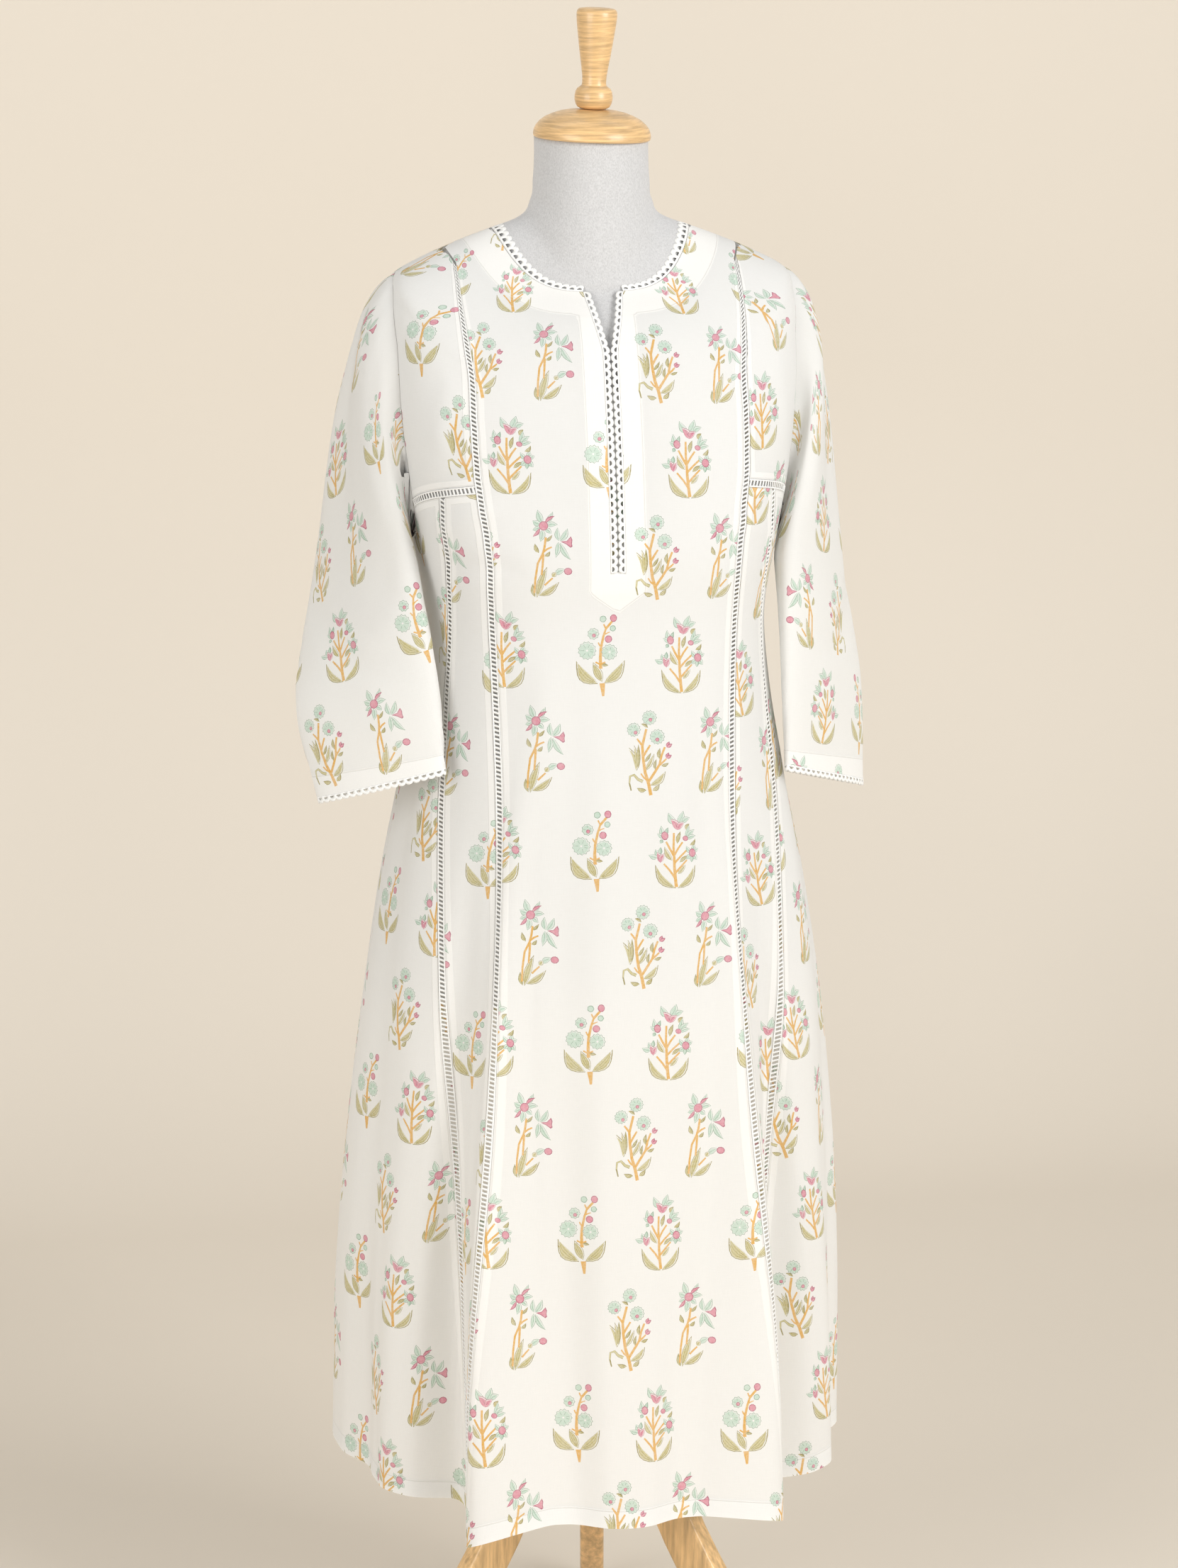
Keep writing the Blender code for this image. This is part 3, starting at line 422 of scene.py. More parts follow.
def yoke_lace_height(angle, distance):
    """The height that lies this far above the middle of the yoke lace."""
    (inner, high), (outer, low) = YOKE_LACE_INNER, YOKE_LACE_OUTER
    middle = high + (low - high) * (np.degrees(np.abs(angle)) - inner) / (outer - inner)
    return middle + height_for(distance, angle, middle)


def slit_half_width(height):
    """Half the width between the cloth's edges at the front slit, without its laces."""
    z = ring_point(0.0, height)[..., 2]
    opening = np.clip((z - 1.393) / (1.446 - 1.393), 0, 1)
    return EDGE_LACE_WIDTH + SEAM_GAP * 1.5 + 0.0125 * opening


def slit_angle(height):
    return angle_for(slit_half_width(height), 0.0, height)


def sleeve_section(row, turn):
    """A flattened ring between a front and a back crease, from the middle of its outer face."""
    values = dict(zip(SLEEVE_COLUMNS, row))
    front = np.array([values["front_x"], values["front_y"], values["front_z"]])
    back = np.array([values["back_x"], values["back_y"], values["back_z"]])
    middle, half = (front + back) / 2, (front - back) / 2
    out = np.array([-half[1], half[0], 0.0])
    out *= np.sign(out[0] * middle[0]) / np.linalg.norm(out)
    return middle + np.sin(turn)[:, None] * half + np.cos(turn)[:, None] * out * values["half_thickness"]


CAP_ROWS, LOWER_ROWS, SLEEVE_TURNS = 44, 40, 144

# Creases pressed or rubbed into the sleeves: a line from one turn and row to another, in the same terms.
SLEEVE_CREASE_COLUMNS = ("from_turn", "from_row", "to_turn", "to_row", "half_width", "stands_out")
SLEEVE_CREASES = (
    (20.0, 6.0, 60.0, 40.0, 0.010, 0.0022),
    (-10.0, 10.0, 10.0, 44.0, 0.014, -0.0022),
    (-40.0, 12.0, -30.0, 50.0, 0.012, 0.0020),
    (70.0, 30.0, 30.0, 52.0, 0.010, -0.0016),
    (60.0, 48.0, -10.0, 58.0, 0.010, 0.0018),
    (-60.0, 46.0, 10.0, 62.0, 0.011, -0.0016),
    (10.0, 60.0, 25.0, 80.0, 0.012, 0.0012),
    (150.0, 10.0, 175.0, 46.0, 0.014, 0.0022),
    (205.0, 12.0, 195.0, 50.0, 0.014, -0.0022),
)


def sleeve_grid(side):
    """The sleeve's outer face as a grid of rings from the armhole to the cuff, closed by a repeated column.

    Turn -180 degrees, its first column, runs down the inner side, and turn 0 down the outer face.
    """
    turn = np.radians(np.linspace(-180, 180, SLEEVE_TURNS + 1))
    drop = (1 - np.cos(turn)) / 2
    height = SHOULDER_TIP - drop * (SHOULDER_TIP - UNDERARM)
    edge = armhole_angle(height)
    angle = np.where(turn >= 0, edge, math.pi - edge)
    start = cloth_point(angle, height)
    start[:, 0] *= SIDES[side]
    towards = start.mean(axis=0) - start
    towards *= 3 * SEAM_GAP / np.linalg.norm(towards, axis=1, keepdims=True)
    towards[:, 0] += SIDES[side] * SEAM_GAP
    start = start + towards
    sections = np.array([sleeve_section(row, turn) for row in SLEEVES[side]])
    end = sections[0]
    length = np.linalg.norm(end - start, axis=1, keepdims=True)
    leaving = np.array([SIDES[side] * 0.90, 0.0, -0.30]) * length * 0.55
    down = sections[1] - sections[0]
    arriving = down * length / np.linalg.norm(down, axis=1, keepdims=True)
    rings = []
    for share in np.linspace(0, 1, CAP_ROWS + 1):
        rings.append(
            (1 + 2 * share) * (1 - share) ** 2 * start + share * (1 - share) ** 2 * leaving
            + share**2 * (3 - 2 * share) * end + share**2 * (share - 1) * arriving
        )
    numbers = np.arange(len(sections), dtype=float)
    places = np.linspace(0, len(sections) - 1, LOWER_ROWS + 1)[1:]
    lower = np.empty((len(places),) + start.shape)
    for i in range(start.shape[0]):
        for axis in range(3):
            lower[:, i, axis] = smooth_between(list(zip(numbers, sections[:, i, axis])), places)
    return np.concatenate((np.array(rings), lower))


def grid_normals(grid):
    """Outward normals of a tube given as a grid of rings with a repeated column."""
    body = grid[:, :-1]
    along = np.roll(body, -1, axis=1) - np.roll(body, 1, axis=1)
    normal = np.cross(along, np.gradient(body, axis=0))
    normal /= np.linalg.norm(normal, axis=-1, keepdims=True)
    outward = body - body.mean(axis=1, keepdims=True)
    normal *= np.sign((normal * outward).sum())
    return np.concatenate((normal, normal[:, :1]), axis=1)


def on_grid(grid, turn, row):
    """A grid's value at a turn in radians and a row, both of which may lie between its own."""
    column = (np.asarray(turn) + math.pi) / (2 * math.pi) * SLEEVE_TURNS
    last_row, last_column = grid.shape[0] - 2, grid.shape[1] - 2
    low_row = np.clip(np.floor(row), 0, last_row).astype(int)
    low_column = np.clip(np.floor(column), 0, last_column).astype(int)
    down, over = (row - low_row)[..., None], (column - low_column)[..., None]
    top = grid[low_row, low_column] * (1 - over) + grid[low_row, low_column + 1] * over
    foot = grid[low_row + 1, low_column] * (1 - over) + grid[low_row + 1, low_column + 1] * over
    return top * (1 - down) + foot * down


def sleeve_surface(side):
    """Functions for the points and the normals of a creased sleeve, at a turn and a row."""
    grid = sleeve_grid(side)
    normal = grid_normals(grid)
    turn = np.radians(np.linspace(-180, 180, SLEEVE_TURNS + 1))[None, :]
    row = np.arange(grid.shape[0], dtype=float)[:, None]
    out = np.zeros(grid.shape[:2])
    for crease in (dict(zip(SLEEVE_CREASE_COLUMNS, values)) for values in SLEEVE_CREASES):
        start = np.array((math.radians(crease["from_turn"]) * 0.04, crease["from_row"] * 0.005))
        end = np.array((math.radians(crease["to_turn"]) * 0.04, crease["to_row"] * 0.005))
        line = end - start
        reach = (turn * 0.04 - start[0], row * 0.005 - start[1])
        along = (reach[0] * line[0] + reach[1] * line[1]) / (line @ line)
        off = (reach[0] * line[1] - reach[1] * line[0]) / np.linalg.norm(line)
        taper = np.clip(np.minimum(along, 1 - along) * 4, 0, 1)
        out += crease["stands_out"] * taper * np.exp(-((off / crease["half_width"]) ** 2))
    creased = grid + normal * out[..., None]
    creased_normal = grid_normals(creased)

    def point(turn, row):
        return on_grid(creased, turn, row)

    def normal_at(turn, row):
        found = on_grid(creased_normal, turn, row)
        return found / np.linalg.norm(found, axis=-1, keepdims=True)

    return point, normal_at


def blade(start, tip, width, bend=0.0, steps=5):
    """The outline of a pointed leaf or petal, which may bend to one side."""
    start, tip = np.array(start, float), np.array(tip, float)
    along = tip - start
    side = np.array((-along[1], along[0]))
    side /= np.linalg.norm(side)
    share = np.linspace(0, 1, steps + 2)[1:-1]
    middle = start + share[:, None] * along
    middle = middle + (np.sin(share * math.pi) * bend * np.linalg.norm(along))[:, None] * side
    half = (np.sin(share**0.85 * math.pi) * width / 2)[:, None] * side
    return np.concatenate(([start], middle - half, [tip], (middle + half)[::-1]))


def round_shape(centre, radius, lobes=0, depth=0.0, squash=1.0, turn=0.0, steps=12):
    """The outline of a round or scalloped shape."""
    count = max(steps, lobes * 2)
    angle = np.arange(count) * 2 * math.pi / count
    reach = radius * (1 + (depth * np.cos(angle * lobes) if lobes else 0))
    x, y = reach * np.cos(angle), reach * np.sin(angle) * squash
    sine, cosine = math.sin(math.radians(turn)), math.cos(math.radians(turn))
    return np.stack((centre[0] + x * cosine - y * sine, centre[1] + x * sine + y * cosine), axis=1)


def ribbon(points, width, end_width=None):
    """The outline of a line drawn through a few points, which may taper."""
    points = np.array(points, float)
    end_width = width if end_width is None else end_width
    along = np.gradient(points, axis=0)
    side = np.stack((-along[:, 1], along[:, 0]), axis=1)
    side /= np.linalg.norm(side, axis=1, keepdims=True)
    half = np.linspace(width, end_width, len(points))[:, None] / 2 * side
    return np.concatenate((points - half, (points + half)[::-1]))


def leaf(start, tip, width, bend=0.0, ink="leaf", veins=1):
    """A leaf: its outline and veins, and its fill, which the second block puts a little to one side."""
    start, tip = np.array(start, float), np.array(tip, float)
    along = tip - start
    length = np.linalg.norm(along)
    side = np.array((-along[1], along[0])) / length
    steps = 5 if length > 13 else 3
    shapes = [(blade(start, tip, width + 0.5, bend, steps), ink + "_line")]
    if width > 4.0:
        shapes.append((blade(start + along * 0.03, tip - along * 0.05, width - 0.5, bend, steps), "bare"))
    slip = np.array((-0.3, -0.25))
    filled = blade(start + along * 0.05 + slip, tip - along * 0.09 + slip, width - 1.3, bend, steps)
    shapes.append((filled, ink))
    places = (0.12, 0.38, 0.62, 0.86) if length > 13 else (0.2, 0.5, 0.8)
    for vein in range(veins):
        off = side * (vein - (veins - 1) / 2) * width / (veins + 1)
        bow = side * bend * length + off
        line = [start + along * share + bow * math.sin(share * math.pi) for share in places]
        shapes.append((ribbon(line, 0.5, 0.3), ink + "_vein"))
    return shapes


def daisy(centre, radius, petals, heart, heart_radius=1.7):
    """A round flower of narrow petals, with its heart off its middle."""
    shapes = [(round_shape(centre, radius + 0.5, petals, 0.08), "sage_line")]
    shapes.append((round_shape(centre, radius - 0.1, petals, 0.08), "bare"))
    shapes.append((round_shape(centre - (0.25, 0.2), radius - 0.6, petals, 0.08), "sage"))
    for i in range(0, petals, 2):
        turn = (i + 0.5) * 2 * math.pi / petals
        ray = np.array((math.cos(turn), math.sin(turn))) * radius
        shapes.append((ribbon((centre + ray * 0.36, centre + ray * 0.82), 0.45, 0.35), "sage_vein"))
    if heart:
        shapes.append((round_shape(heart, heart_radius + 0.3, steps=8), "rose_line"))
        shapes.append((round_shape(heart, heart_radius - 0.25, steps=8), "rose"))
    else:
        shapes.append((round_shape(centre, 1.1, steps=7), "bare"))
    return shapes


def rose_dot(centre, radius, squash=1.0, turn=0.0):
    return [
        (round_shape(centre, radius + 0.1, squash=squash, turn=turn, steps=10), "rose_line"),
        (round_shape(centre, radius - 0.6, squash=squash, turn=turn, steps=10), "rose"),
    ]


def stems(*drawn):
    """Stems, each as its points and its widths at the foot and at the tip."""
    return [(ribbon(points, width, tip_width), "stem") for points, width, tip_width in drawn]


def bud_sprig():
    """A straight sprig with two round flowers, buds at its top and two broad leaves at its foot."""
    shapes = leaf((-1.4, -28.8), (-23.3, -6.9), 10.5, 0.16, veins=3)
    shapes += leaf((4.8, -28.0), (24.4, -5.2), 9.5, -0.12, veins=3)
    shapes += leaf((2.7, -26.5), (-6.9, -7.8), 8.0, 0.0, veins=3)
    shapes += stems(
        (((4.2, -40.6), (3.6, -34.5), (2.8, -28.0)), 2.2, 5.6),
        (((1.0, -14.0), (0.2, -4.0), (0.3, 5.5), (2.5, 17.8), (4.8, 26.0)), 3.4, 1.8),
        (((4.4, 25.0), (8.0, 29.4), (10.6, 32.6)), 2.4, 2.2),
        (((4.6, 25.4), (3.2, 27.6), (2.2, 29.6)), 1.8, 1.3),
        (((0.6, 7.0), (-1.4, 9.6), (-2.4, 11.6)), 1.8, 1.2),
        (((-4.4, -7.6), (0.2, -9.8), (5.2, -7.4)), 1.6, 1.6),
        (((3.4, 19.5), (6.0, 20.9), (8.6, 21.9)), 1.4, 0.8),
    )
    shapes += leaf((1.6, -10.4), (8.4, -10.6), 2.8, 0.05)
    shapes += daisy(np.array((-13.0, 3.4)), 8.0, 13, None)
    shapes += daisy(np.array((9.0, 2.4)), 7.0, 12, None)
    shapes += daisy(np.array((-7.5, 19.9)), 5.0, 9, (-6.9, 18.2), 1.7)
    shapes += rose_dot((11.6, 35.6), 3.4, 1.1, 10)
    shapes += rose_dot((7.5, 15.0), 3.6)
    for centre, radius in (((1.4, 34.6), 3.0), ((11.4, 25.6), 2.7)):
        shapes.append((round_shape(centre, radius + 0.3, 5, 0.06), "sage_line"))
        shapes.append((round_shape(centre, radius - 0.35, 5, 0.06), "sage"))
    return shapes


def tulip_bush():
    """A bushy plant of branching stems with one open tulip at the top and three flowers at its sides."""
    shapes = leaf((3.4, -37.5), (-18.2, -14.0), 7.2, 0.16, veins=2)
    shapes += leaf((4.8, -37.5), (23.2, -15.2), 7.2, -0.16, veins=2)
    shapes += leaf((-1.6, -10.0), (-9.8, 3.8), 4.8, 0.08)
    shapes += leaf((2.7, 6.4), (5.8, 18.6), 4.0, 0.05)
    shapes += leaf((4.8, -23.6), (12.6, -14.6), 4.4, 0.0)
    shapes += leaf((6.0, -12.0), (15.0, -5.6), 3.6, 0.05)
    shapes += leaf((16.6, 4.4), (22.6, 10.4), 3.4, -0.2)
    shapes += leaf((11.0, 20.0), (15.4, 25.6), 4.0, 0.1)
    shapes += stems(
        (((3.6, -36.4), (2.4, -29.0), (0.8, -16.4), (0.2, -6.9), (-0.8, 3.0), (-1.0, 17.2)), 3.4, 2.0),
        (((0.0, -5.6), (-4.6, 1.8), (-8.4, 8.6)), 2.4, 1.8),
        (((0.2, -5.0), (4.0, 1.8), (8.4, 7.8)), 2.2, 1.8),
        (((0.8, -12.6), (6.6, -6.4), (13.4, -0.2)), 2.2, 1.8),
        (((2.0, -22.4), (7.6, -16.2), (13.8, -9.8)), 2.2, 1.7),
        (((2.4, -28.2), (-3.2, -20.4), (-9.8, -13.2)), 2.2, 1.7),
    )
    for start, tip, width, bend in (
        ((1.6, 25.6), (-7.4, 37.2), 6.4, 0.12), ((2.6, 26.0), (8.2, 38.6), 6.8, -0.08),
        ((7.0, 26.4), (15.6, 31.4), 5.4, 0.14),
        ((-11.0, 11.6), (-13.8, 24.4), 4.6, 0.05), ((-10.6, 11.4), (-17.6, 16.4), 4.4, -0.1),
        ((-9.4, 13.6), (-7.0, 22.8), 3.8, 0.05), ((-11.6, 10.6), (-14.4, 7.0), 3.4, 0.0),
        ((11.8, 11.6), (14.8, 24.4), 4.6, -0.05), ((12.4, 11.2), (21.4, 19.6), 5.0, 0.08),
        ((12.8, 10.6), (23.0, 13.4), 4.2, 0.08),
        ((-14.2, -5.6), (-18.6, 1.0), 4.4, 0.1), ((-15.4, -6.8), (-25.0, -4.6), 4.8, 0.1),
        ((-14.0, -4.8), (-13.4, 3.2), 3.8, 0.0),
        ((18.8, -3.2), (12.4, 3.8), 4.2, 0.1), ((19.6, -1.6), (22.0, 4.8), 4.6, 0.0),
        ((20.6, -2.0), (26.4, 0.6), 4.2, 0.0), ((20.4, -4.4), (25.2, -10.4), 4.6, 0.0),
        ((18.6, -4.6), (13.0, -9.2), 4.6, 0.0), ((19.4, -5.6), (19.0, -12.6), 4.0, 0.0),
    ):
        shapes += leaf(start, tip, width, bend, ink="sage")
    shapes += leaf((2.2, 20.0), (-4.6, 31.0), 6.4, -0.14, ink="rose", veins=1)
    shapes += leaf((2.4, 20.0), (9.6, 27.4), 6.0, 0.14, ink="rose", veins=1)
    shapes += rose_dot((-9.9, 14.4), 3.4, 1.25, 15)
    shapes += rose_dot((11.4, 11.4), 3.1, 0.8, -20)
    shapes += leaf((-13.0, -12.2), (-16.8, -1.8), 5.4, -0.1, ink="rose", veins=1)
    shapes += leaf((-13.2, -12.0), (-9.8, -3.0), 5.0, 0.1, ink="rose", veins=1)
    shapes += rose_dot((19.6, -3.2), 3.7, 1.15, 25)
    return shapes


def star_flower():
    """Two tall stems with an open star flower, a trumpet flower to its side and a small bud below."""
    shapes = leaf((-13.0, -41.6), (-4.6, -10.6), 7.0, 0.03, veins=2)
    shapes += leaf((-11.0, -39.6), (7.8, -25.0), 6.4, -0.10, veins=2)
    shapes += leaf((-14.6, -41.2), (-17.4, -27.6), 3.6, 0.1)
    shapes += leaf((-13.0, 2.4), (-17.2, 11.4), 3.8, 0.1)
    shapes += leaf((-7.6, 13.6), (-0.6, 20.4), 2.8, -0.1)
    shapes += leaf((-7.4, -0.6), (-2.2, 4.4), 3.2, -0.15)
    shapes += stems(
        (((-15.6, -37.4), (-15.4, -23.4), (-13.8, -8.0), (-9.4, 1.6), (-7.8, 8.0),
          (-6.8, 17.8)), 2.0, 2.2),
        (((-9.6, -19.2), (-9.0, -9.0), (-8.8, 1.4)), 1.8, 2.4),
        (((-8.8, 3.6), (-5.0, 6.6), (-0.8, 8.6)), 2.0, 1.6),
        (((-6.0, -29.0), (-2.6, -25.4), (1.2, -21.6)), 2.0, 1.6),
    )
    for start, tip, width, bend in (
        ((-10.4, 31.6), (-15.2, 44.0), 6.0, 0.05), ((-7.4, 31.8), (-0.4, 42.8), 4.4, -0.08),
        ((-6.4, 28.6), (4.4, 30.4), 4.8, 0.12), ((-8.0, 26.0), (-1.4, 21.4), 4.6, 0.1),
        ((-9.8, 25.4), (-11.8, 13.4), 5.6, 0.05), ((-12.0, 30.2), (-19.8, 33.6), 5.6, 0.1),
        ((-12.2, 27.6), (-19.6, 24.4), 4.6, 0.05),
        ((6.0, 14.6), (4.6, 27.6), 4.8, 0.1), ((7.0, 14.6), (14.0, 27.0), 5.4, -0.1),
        ((5.4, 13.6), (3.4, -1.6), 5.0, 0.05), ((7.2, 12.8), (18.0, -3.4), 4.8, -0.08),
        ((3.0, -18.0), (12.6, -12.6), 5.6, 0.05),
    ):
        shapes += leaf(start, tip, width, bend, ink="sage")
    shapes += leaf((-8.0, 31.6), (1.4, 38.6), 3.2, 0.1, ink="rose", veins=0)
    shapes += leaf((-12.6, 26.4), (-19.4, 18.0), 3.2, 0.1, ink="rose", veins=0)
    shapes += rose_dot((-9.2, 28.8), 4.5)
    trumpet = np.array((
        (7.4, 14.2), (13.6, 15.0), (17.4, 19.4), (19.0, 16.0),
        (18.6, 12.6), (19.2, 9.6), (17.4, 8.4), (13.0, 11.6),
    ))
    shapes.append((trumpet, "rose_line"))
    shapes.append(((trumpet - trumpet.mean(axis=0)) * 0.76 + trumpet.mean(axis=0), "rose"))
    shapes += leaf((0.6, -20.4), (4.6, -15.6), 4.8, 0.0)
    shapes += rose_dot((15.8, -14.6), 3.5, 1.15, 80)
    return shapes


def daisy_bunch():
    """Branching stems with three daisies, two small buds and feathery leaves."""
    shapes = []
    for start, tip, width, bend in (
        ((-12.0, -17.6), (-20.4, 5.4), 4.6, -0.12), ((-11.4, -17.0), (-15.2, 7.8), 4.2, -0.06),
        ((-10.2, -14.8), (-10.8, 8.6), 3.6, 0.0), ((-3.6, -17.6), (5.0, -0.4), 4.2, -0.06),
        ((-4.4, -9.2), (1.8, 0.4), 2.8, -0.05), ((2.2, -31.6), (16.6, -17.6), 6.0, -0.14),
        ((-1.6, -36.4), (-11.2, -34.2), 4.0, 0.12), ((4.6, -36.8), (11.2, -30.8), 4.0, -0.1),
        ((10.2, -5.8), (10.6, 5.0), 3.4, 0.1), ((6.4, -16.6), (7.4, -5.8), 2.8, 0.1),
        ((12.2, -12.4), (19.6, -9.6), 3.0, -0.1), ((-1.8, 24.6), (-8.8, 28.4), 2.6, -0.1),
    ):
        shapes += leaf(start, tip, width, bend)
    curl = ((-5.4, -27.8), (-10.2, -25.8), (-14.4, -21.4), (-18.4, -22.8), (-18.8, -29.4), (-16.8, -36.8))
    shapes.append((ribbon(curl, 3.2, 1.2), "leaf_line"))
    shapes.append((ribbon(curl[:-1], 2.2, 1.2), "leaf"))
    shapes += stems(
        (((3.0, -41.2), (0.4, -30.0), (-3.4, -19.2), (-5.8, -5.5), (-7.0, 6.9), (-3.4, 23.4)), 3.4, 2.4),
        (((-7.2, 7.4), (-9.8, 10.8), (-12.4, 13.8)), 2.2, 1.6),
        (((-5.8, -3.6), (-2.4, 2.4), (0.8, 7.8)), 2.4, 1.8),
        (((0.6, -27.6), (6.0, -18.8), (10.4, -11.4), (12.2, -2.4), (15.2, 5.8)), 2.6, 2.0),
        (((10.6, -11.6), (14.2, -8.4), (17.0, -5.6)), 2.2, 1.5),
        (((-1.2, -26.4), (-4.6, -24.0), (-7.6, -20.0)), 2.0, 1.4),
    )
    shapes += daisy(np.array((-0.7, 34.4)), 6.4, 13, (0.4, 32.4), 1.6)
    shapes += daisy(np.array((-15.8, 22.6)), 6.0, 13, (-14.0, 19.8), 1.6)
    shapes += daisy(np.array((7.5, 15.9)), 6.6, 13, (7.6, 13.2), 1.7)
    for x, y in ((19.4, 7.9), (19.2, -2.8)):
        shapes += leaf((x - 2.4, y - 2.2), (x + 0.2, y + 3.4), 3.4, 0.0, ink="rose", veins=0)
        shapes += leaf((x - 2.2, y - 2.4), (x + 3.2, y + 1.0), 3.4, 0.0, ink="rose", veins=0)
    return shapes


INKS = (
    "bare", "sage", "sage_line", "sage_vein", "leaf", "leaf_line", "leaf_vein", "stem", "rose", "rose_line",
    "rose_vein",
)


def drawn_patch(motifs, start, fine):
    """One row's rectangle of the repeat, cut into triangles: points, triangles and each triangle's ink.

    Where it isn't fine, it leaves out the veins and the bare slivers inside the outlines.
    """
    shapes = []
    for draw, at in motifs:
        shapes += [
            (points + (at, 0.0), ink) for points, ink in draw() if fine or not ink.endswith(("_vein", "bare"))
        ]
    xs = np.linspace(start, start + REPEAT_WIDTH, round(REPEAT_WIDTH / PRINT_GRID) + 1)
    ys = np.linspace(-ROW_PITCH / 2, ROW_PITCH / 2, round(ROW_PITCH / PRINT_GRID) + 1)
    places = [Vector((x, y)) for y in ys for x in xs]
    outlines = []
    for points, _ in shapes:
        after = np.roll(points, -1, axis=0)
        turning = (points[:, 0] * after[:, 1] - points[:, 1] * after[:, 0]).sum()
        ordered = points if turning > 0 else points[::-1]
        outlines.append(list(range(len(places), len(places) + len(ordered))))
        places += [Vector(point) for point in ordered]
    points, _, faces, _, _, drawn_by = delaunay_2d_cdt(places, [], outlines, 0, 1e-4)
    inks = [INKS.index(shapes[max(found)][1]) if found else 0 for found in drawn_by]
    places, triangles = ([tuple(item) for item in items] for items in (points, faces))
    return np.array(places), np.array(triangles), np.array(inks)


class Print:
    """The block print on flat cloth, as triangles with inks."""

    def __init__(self, fine=True):
        star_row = ((star_flower, MOTIFS_AT["star"][0]), (daisy_bunch, MOTIFS_AT["daisies"][0]))
        bud_row = ((bud_sprig, MOTIFS_AT["buds"][0]), (tulip_bush, MOTIFS_AT["tulips"][0]))
        self.rows = tuple(
            drawn_patch(motifs, start, fine)
            for motifs, start in ((star_row, STAR_ROW_START), (bud_row, BUD_ROW_START))
        )

    def over(self, low, high, motif, place, lean):
        """All triangles of the print near a rectangle of a piece's flat cut, in metres, with their inks."""
        turn = math.radians(lean)
        spin = np.array(((math.cos(turn), -math.sin(turn)), (math.sin(turn), math.cos(turn))))
        at, in_row = MOTIFS_AT[motif]
        origin = place - spin @ (at, in_row * ROW_PITCH) * MM
        reach = math.hypot(*(high - low)) / MM + REPEAT_WIDTH * 1.5
        columns, rows = math.ceil(reach / REPEAT_WIDTH), math.ceil(reach / ROW_PITCH)
        points, faces, inks, count = [], [], [], 0
        for row in range(-rows, rows + 1):
            patch, triangles, patch_inks = self.rows[row % 2]
            for column in range(-columns, columns + 1):
                moved = patch + (column * REPEAT_WIDTH, row * ROW_PITCH)
                moved = moved * MM @ spin.T + origin
                if (moved.max(axis=0) < low).any() or (moved.min(axis=0) > high).any():
                    continue
                points.append(moved)
                faces.append(triangles + count)
                inks.append(patch_inks)
                count += len(moved)
        points, faces, inks = np.concatenate(points), np.concatenate(faces), np.concatenate(inks)
        _, first, index = np.unique(np.round(points / 1e-6), axis=0, return_index=True, return_inverse=True)
        faces = index.reshape(-1)[faces]
        points = points[first]
        middle = points[faces].mean(axis=1)
        near = ((middle > low - 0.01) & (middle < high + 0.01)).all(axis=1)
        near &= (faces != np.roll(faces, 1, axis=1)).all(axis=1)
        return points, faces[near], inks[near]


